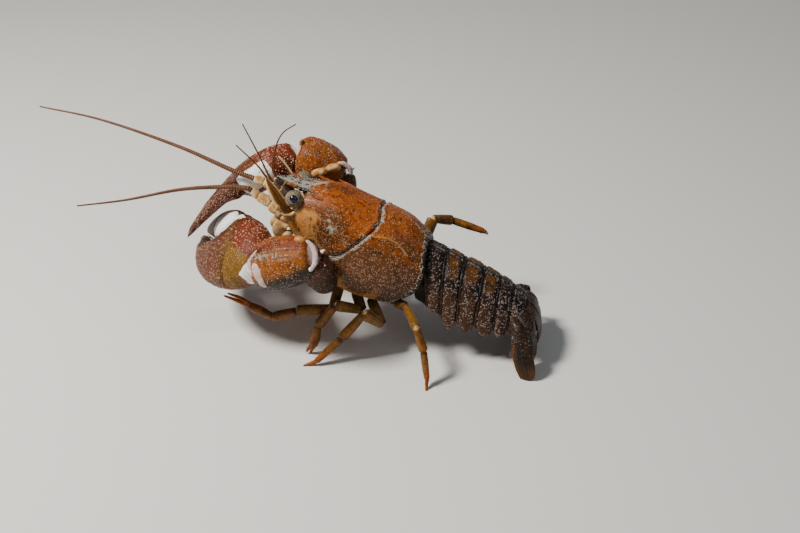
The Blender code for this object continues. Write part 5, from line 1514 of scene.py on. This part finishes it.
def make_feeler_bases():
    """The segments that carry each long feeler, the scale beside them and its fringe."""
    fringe = Bits()
    for side, word in SIDES:
        points = placed(trunk, FEELER_BASES[side], side)
        shell = Shell()
        for tag, keys in enumerate((((0, 2.0, 2.0), (0.7, 2.35, 2.25), (1, 2.1, 2.0)),
                                    ((0, 2.1, 2.0), (0.6, 2.2, 2.15), (1, 1.8, 1.75)),
                                    ((0, 1.6, 1.55), (0.6, 1.75, 1.7), (1, 1.45, 1.4)),
                                    ((0, 1.3, 1.25), (0.6, 1.4, 1.35), (1, 1.15, 1.1)))):
            segment(shell, points[tag], points[tag + 1], keys, SIDEWAYS, 28, 26, (0.8, 0.8), 2.2, tag)

        def paint(place, point):
            share, d = place[0], place[2]
            dark = 0.9 * bump(share, 0.07, 0.04) + 0.4 * ramp(lumps(point, 1.2, 3.0), 0.1, 0.5)
            return (0.75 * ramp(lumps(point, 2), -0.1, 0.3), 0.6 * ramp(share, 0.88, 0.96), dark, 0.2,
                    0.4 * ramp(d, 0.2, -0.6))

        place_piece(shell, "feeler_stem_" + word, "base_finish", "feeler_base_" + word, paint,
                    lambda place, point: 0.2 * lumps(point, 1.6) + 0.05 * lumps(point, 0.6))
        fringe.sprinkle(shell, 26, 80 + side, lambda place, spot: place[0] > 0.7, 0.6)

        blade = Shell()
        path = placed(trunk, FEELER_SCALE, side)
        hint = trunk_direction(0, 0.75 * side, -0.65)
        keys = ((0, 1.5, 0.8), (0.33, 2.2, 0.55), (0.67, 1.8, 0.45), (0.9, 0.95, 0.4), (1, 0.4, 0.3))
        tube(blade, path, keys, hint, 32, 40, (0.5, 0.4), 1.7)

        def paint_blade(place, point):
            share, a = place[:2]
            return 0.2, 0.75 * ramp(abs(a), 0.45, 0.8) + 0.2 * ramp(share, 0.8, 1.0), 0.5 * bump(a, 0.15, 0.22), 0.25

        place_piece(blade, "feeler_blade_" + word, "leg_finish", "feeler_scale_" + word, paint_blade,
                    lambda place, point: 0.18 * bump(place[1], 0.35, 0.12) + 0.03 * lumps(point, 0.8))
        fringe.sprinkle(blade, 40, 84 + side, lambda place, spot: place[1] * side < -0.75, 0.9)
    set_bits("feeler_fringe", fringe, hair_bit(), "bristle_finish")


def ringed_whip(shell, path, thick, thin, count, sides=14, tag=0):
    """A tapering whip of short rings, each four steps long."""
    steps = count * 4
    upward = Vector((0.15, 0.3, 1))
    points = smooth_path(path, steps)
    rings = []
    for i, centre in enumerate(points):
        share = i / steps
        along = (points[min(i + 1, steps)] - points[max(i - 1, 0)]).normalized()
        across = (upward - along * along.dot(upward)).normalized()
        deep = along.cross(across)
        half = (thick + (thin - thick) * share**0.75) * (1.0, 0.97, 0.84, 0.97)[i % 4]
        half *= min(1.0, 0.6 + i * 0.2)
        rings.append([(centre + (across * math.cos(angle) + deep * math.sin(angle)) * (half * MM),
                       (share, i % 4, math.cos(angle), tag)) for angle in circle(sides)])
    shell.loft(rings, points[0], points[-1])


def make_feelers():
    """The two long feelers and the four small ones, ringed all along."""
    rings = bpy.context.scene.crayfish_sizes.feeler_rings

    def paint(place, point):
        step = place[1]
        return 0.4 + 0.3 * lumps(point, 3), 0, 0.9 * (step == 2) + 0.5 * (step % 2), 0, 0.8 * (step == 0)

    for side, word in SIDES:
        shell = Shell()
        path = placed(trunk, FEELER_BASES[side][-1:], side) + placed(standing, FEELERS[side])
        ringed_whip(shell, path, FEELER_THICK, FEELER_THIN, rings)
        place_piece(shell, "feeler_whip_" + word, "feeler_finish", "feeler_" + word, paint)
        small = Shell()
        base = placed(trunk, SMALL_FEELER_BASE, side)
        for i, half in enumerate((1.25, 1.15, 0.95)):
            keys = ((0, half * 0.9, half * 0.88), (0.6, half, half * 0.96), (1, half * 0.85, half * 0.8))
            segment(small, base[i], base[i + 1], keys, SIDEWAYS, 18, 18, (0.6, 0.6), tag=1)
        x, y, z = SMALL_FEELER_BASE[-1]
        for route in SMALL_FEELERS[side]:
            ringed_whip(small, [trunk(x - 0.6, y * side, z)] + placed(trunk, route), 0.40, 0.2, 34, 8, 2)

        def paint_small(place, point):
            if place[3] == 1:
                return 0.1, 0.6 * ramp(place[0], 0.8, 0.95), 0.5 + 0.3 * ramp(place[0], 0.3, 0.1), 0.5
            return 0.35, 0.4 * (place[1] == 0), 0.6 * (place[1] == 2), 0.1

        place_piece(small, "feelers_small_" + word, "feeler_finish", "small_feelers_" + word,
                    paint_small)


def make_jaw_legs():
    """The outer jaw legs folded under the head, with their bristles."""
    bristles = Bits()
    for side, word in SIDES:
        shell = Shell()
        points = smooth_path(placed(trunk, JAW_LEG, side), 60)
        halves = ((0, 1.9, 1.5), (0.25, 1.9, 1.5), (0.5, 1.7, 1.5), (0.75, 1.35, 1.3), (1, 0.7, 0.8))
        wide, deep = column(halves, 1), column(halves, 2)
        for tag, (begin, end) in enumerate(((0, 24), (24, 38), (38, 48), (48, 60))):
            keys = []
            for step, waist in ((0, 0.86), (0.35, 1), (0.7, 1), (1, 0.84)):
                share = (begin + (end - begin) * step) / 60
                keys.append((step, smooth_value(wide, share) * waist, smooth_value(deep, share) * waist))
            tube(shell, points[begin:end + 1:2], keys, SIDEWAYS, 24, 24, (0.8, 0.8), 2.2, tag)

        def paint(place, point):
            dark = 0.8 * bump(place[0], 0.06, 0.05) + 0.4 * ramp(lumps(point, 1.5), 0.0, 0.4)
            return (0.9 * ramp(lumps(point, 3), -0.3, 0.2), 0.5 * ramp(place[0], 0.9, 0.97), dark, 0.2,
                    0.5 * ramp(lumps(point, 2.5, 3.0), -0.1, 0.3))

        place_piece(shell, "jaw_limb_" + word, "base_finish", "jaw_leg_" + word, paint)
        bristles.sprinkle(shell, 120, 90 + side, lambda place, spot: place[1] * side < -0.2, 0.95)
    set_bits("jaw_bristles", bristles, hair_bit(), "bristle_finish")


def make_underside():
    """The keel between the legs, the mouth region and the small swimming legs."""
    shell = Shell()
    span = STERNUM[-1][0] - STERNUM[0][0]
    keys = [((x - STERNUM[0][0]) / span, half, deep) for x, up, half, deep in STERNUM]
    tube(shell, [trunk(x, 0, up) for x, up, half, deep in STERNUM], keys, SIDEWAYS, 36, 90, (0.8, 0.8), 2.4)

    def seam(place):
        """1 at the seams between the keel's segments."""
        return bump((place[0] * 7.4) % 1, 0.5, 0.1)

    place_piece(shell, "keel", "base_finish", "sternum",
                lambda place, point: (0.4, 0.4 * ramp(lumps(point, 3), 0.1, 0.4), 0.7 * seam(place), 0.3),
                lambda place, point: -0.35 * seam(place) - 0.3 * bump(place[1], 0, 0.08) + 0.08 * lumps(point, 1.5))
    legs = Shell()
    for station in ABDOMEN_STATIONS[1:5]:
        forward, low, half = station[2:]
        for side in (1, -1):
            root = standing(forward - 2.2, side * half * 0.52, low + 0.9)
            knee = standing(forward - 2.0, side * half * 0.56, low - 1.4)
            tip = standing(forward - 0.6, side * half * 0.46, low - 3.4)
            tube(legs, [root, knee], ((0, 0.8, 0.7), (1, 0.65, 0.55)), SIDEWAYS, 12, 12, (0.4, 0.4))
            tube(legs, [knee, tip], ((0, 0.6, 0.45), (0.5, 0.8, 0.3), (1, 0.3, 0.25)), SIDEWAYS, 12, 14, (0.3, 0.3))
    place_piece(legs, "swimming_legs", "base_finish", None, lambda place, point: (0.5, 0.3, 0.2, 0.2))
    mouth = Shell()
    for side in (1, -1):
        tube(mouth, placed(trunk, MOUTH_BAR, side), ((0, 0.6, 0.8), (0.4, 0.9, 1.0), (0.8, 0.75, 0.8), (1, 0.4, 0.4)),
             Vector((0, 0, 1)), 16, 30, (0.4, 0.5))
        for x, y, z, half in MOUTH_KNOBS:
            spot = trunk(x, y * side, z)
            reach = Vector((half * 0.9, 0, 0)) * MM
            tube(mouth, [spot - reach, spot + reach], ((0, half, half), (1, half, half)), SIDEWAYS, 18, 16,
                 (half * 0.9, half * 0.9))
    for side in (1, -1):
        for half, path in MOUTH_PLATES:
            tube(mouth, placed(trunk, path, side), ((0, half * 0.7, 0.7), (0.4, half, 0.9), (1, half * 0.6, 0.6)),
                 Vector((1, 0, 0.3)), 24, 30, (0.8, 1.0), 2.2, 2)
        for half, path in CHEEK_RIMS:
            tube(mouth, placed(standing, path, side), ((0, half, half), (0.5, half, half * 1.2), (1, half, half)),
                 Vector((0, 0.3, 1)), 16, 26, (half * 0.9, half * 0.9), tag=1)

    def paint(place, point):
        return (0.3 + lumps(point, 2.0), 0.4 * ramp(place[0], 0.8, 1.0), 0.4 * ramp(lumps(point, 1.5), 0.1, 0.5),
                0.5 * (place[3] == 1), 0.5 * ramp(lumps(point, 2.0, 3.0), 0.0, 0.4))

    place_piece(mouth, "mouth_ridge", "base_finish", None, paint,
                lambda place, point: 0.12 * lumps(point, 1.0))


# Stage

def soft_lamp(name, place, aim, watts, size, colour):
    """A square soft light."""
    data = bpy.data.lights.new(name, "AREA")
    data.energy = watts
    data.size = size
    data.color = colour
    lamp = bpy.data.objects.new(name, data)
    lamp.location = place
    lamp.rotation_euler = (aim - place).to_track_quat("-Z", "Y").to_euler()
    bpy.context.scene.collection.objects.link(lamp)


def make_stage():
    """Floor, soft studio light and the camera of the photograph's view."""
    mesh = bpy.data.meshes.new("floor")
    mesh.from_pydata([(-2, -2, 0), (2, -2, 0), (2, 2, 0), (-2, 2, 0)], [], [(0, 1, 2, 3)])
    floor = bpy.data.objects.new("floor", mesh)
    material, _, shader = new_material("floor_paint")
    shader.inputs["Base Color"].default_value = FLOOR_COLOUR
    shader.inputs["Roughness"].default_value = 0.85
    mesh.materials.append(material)
    bpy.context.scene.collection.objects.link(floor)

    world = bpy.data.worlds.new("studio")
    world.use_nodes = True
    sky = world.node_tree.nodes["Background"].inputs
    sky["Color"].default_value = SKY_COLOUR
    sky["Strength"].default_value = SKY_STRENGTH
    bpy.context.scene.world = world

    right = Vector((math.cos(CAMERA_TURN), math.sin(CAMERA_TURN), 0))
    ahead = Vector((-math.sin(CAMERA_TURN) * math.cos(CAMERA_TILT), math.cos(CAMERA_TURN) * math.cos(CAMERA_TILT),
                    -math.sin(CAMERA_TILT)))
    up = right.cross(ahead)
    target = (right * CAMERA_SHIFT[0] + up * CAMERA_SHIFT[1] + Vector((PLAN_FORWARD, PLAN_LEFT, 0))) * MM
    data = bpy.data.cameras.new("camera")
    data.lens = CAMERA_LENS
    data.sensor_width = 36
    data.clip_start = 0.01
    camera = bpy.data.objects.new("camera", data)
    turn = Matrix((right, up, -ahead)).transposed().to_4x4()
    camera.matrix_world = Matrix.Translation(target - ahead * (CAMERA_DISTANCE * MM)) @ turn
    bpy.context.scene.collection.objects.link(camera)
    bpy.context.scene.camera = camera

    middle = Vector((0.0, 0.0, 0.03))
    for name, (aside, onward, lift), far, watts, size, colour in LAMPS:
        way = right * aside + ahead * onward + Vector((0, 0, lift))
        soft_lamp(name, middle + way.normalized() * far, middle, watts, size, colour)


# Operators and panel

class BuildCarapace(bpy.types.Operator):
    """Build the carapace, beak and back spines"""
    bl_idname = "crayfish.build_carapace"
    bl_label = "Carapace"

    def execute(self, context):
        make_carapace()
        make_rostrum()
        return {"FINISHED"}


class BuildTail(bpy.types.Operator):
    """Build the abdomen and the tail fan"""
    bl_idname = "crayfish.build_tail"
    bl_label = "Abdomen and fan"

    def execute(self, context):
        make_abdomen()
        make_fan()
        return {"FINISHED"}


class BuildLegs(bpy.types.Operator):
    """Build the eight walking legs"""
    bl_idname = "crayfish.build_legs"
    bl_label = "Walking legs"

    def execute(self, context):
        make_legs()
        return {"FINISHED"}


class BuildClaws(bpy.types.Operator):
    """Build both claws with their pimples and teeth"""
    bl_idname = "crayfish.build_claws"
    bl_label = "Claws"

    def execute(self, context):
        make_claws()
        return {"FINISHED"}


class BuildHead(bpy.types.Operator):
    """Build eyes, feelers, jaw legs and the underside"""
    bl_idname = "crayfish.build_head"
    bl_label = "Head and underside"

    def execute(self, context):
        make_eyes()
        make_feeler_bases()
        make_feelers()
        make_jaw_legs()
        make_underside()
        return {"FINISHED"}


class BuildStage(bpy.types.Operator):
    """Set the floor, the lights and the camera"""
    bl_idname = "crayfish.build_stage"
    bl_label = "Stage"

    def execute(self, context):
        make_stage()
        return {"FINISHED"}


OPERATORS = (BuildCarapace, BuildTail, BuildLegs, BuildClaws, BuildHead, BuildStage)


class CrayfishPanel(bpy.types.Panel):
    """Sizes, colours and one button for each group of pieces"""
    bl_label = "Crayfish"
    bl_idname = "VIEW3D_PT_crayfish"
    bl_space_type = "VIEW_3D"
    bl_region_type = "UI"
    bl_category = "Crayfish"

    def draw(self, context):
        for group in (context.scene.crayfish_sizes, context.scene.crayfish_colours):
            for name in group.bl_rna.properties.keys():
                if name not in ("rna_type", "name"):
                    self.layout.prop(group, name)
        for operator in OPERATORS:
            self.layout.operator(operator.bl_idname)


def register():
    """Register the properties, the operators and the panel."""
    for cls in (CrayfishSizes, CrayfishColours, *OPERATORS, CrayfishPanel):
        bpy.utils.register_class(cls)
    bpy.types.Scene.crayfish_sizes = bpy.props.PointerProperty(type=CrayfishSizes)
    bpy.types.Scene.crayfish_colours = bpy.props.PointerProperty(type=CrayfishColours)


def unregister():
    """Take them all back, in the opposite order."""
    del bpy.types.Scene.crayfish_colours
    del bpy.types.Scene.crayfish_sizes
    for cls in (CrayfishPanel, *reversed(OPERATORS), CrayfishColours, CrayfishSizes):
        bpy.utils.unregister_class(cls)


def main():
    """Build every piece and the stage."""
    register()
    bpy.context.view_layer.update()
    for operator in OPERATORS:
        group, name = operator.bl_idname.split(".")
        getattr(getattr(bpy.ops, group), name)()


if __name__ == "__main__":
    main()
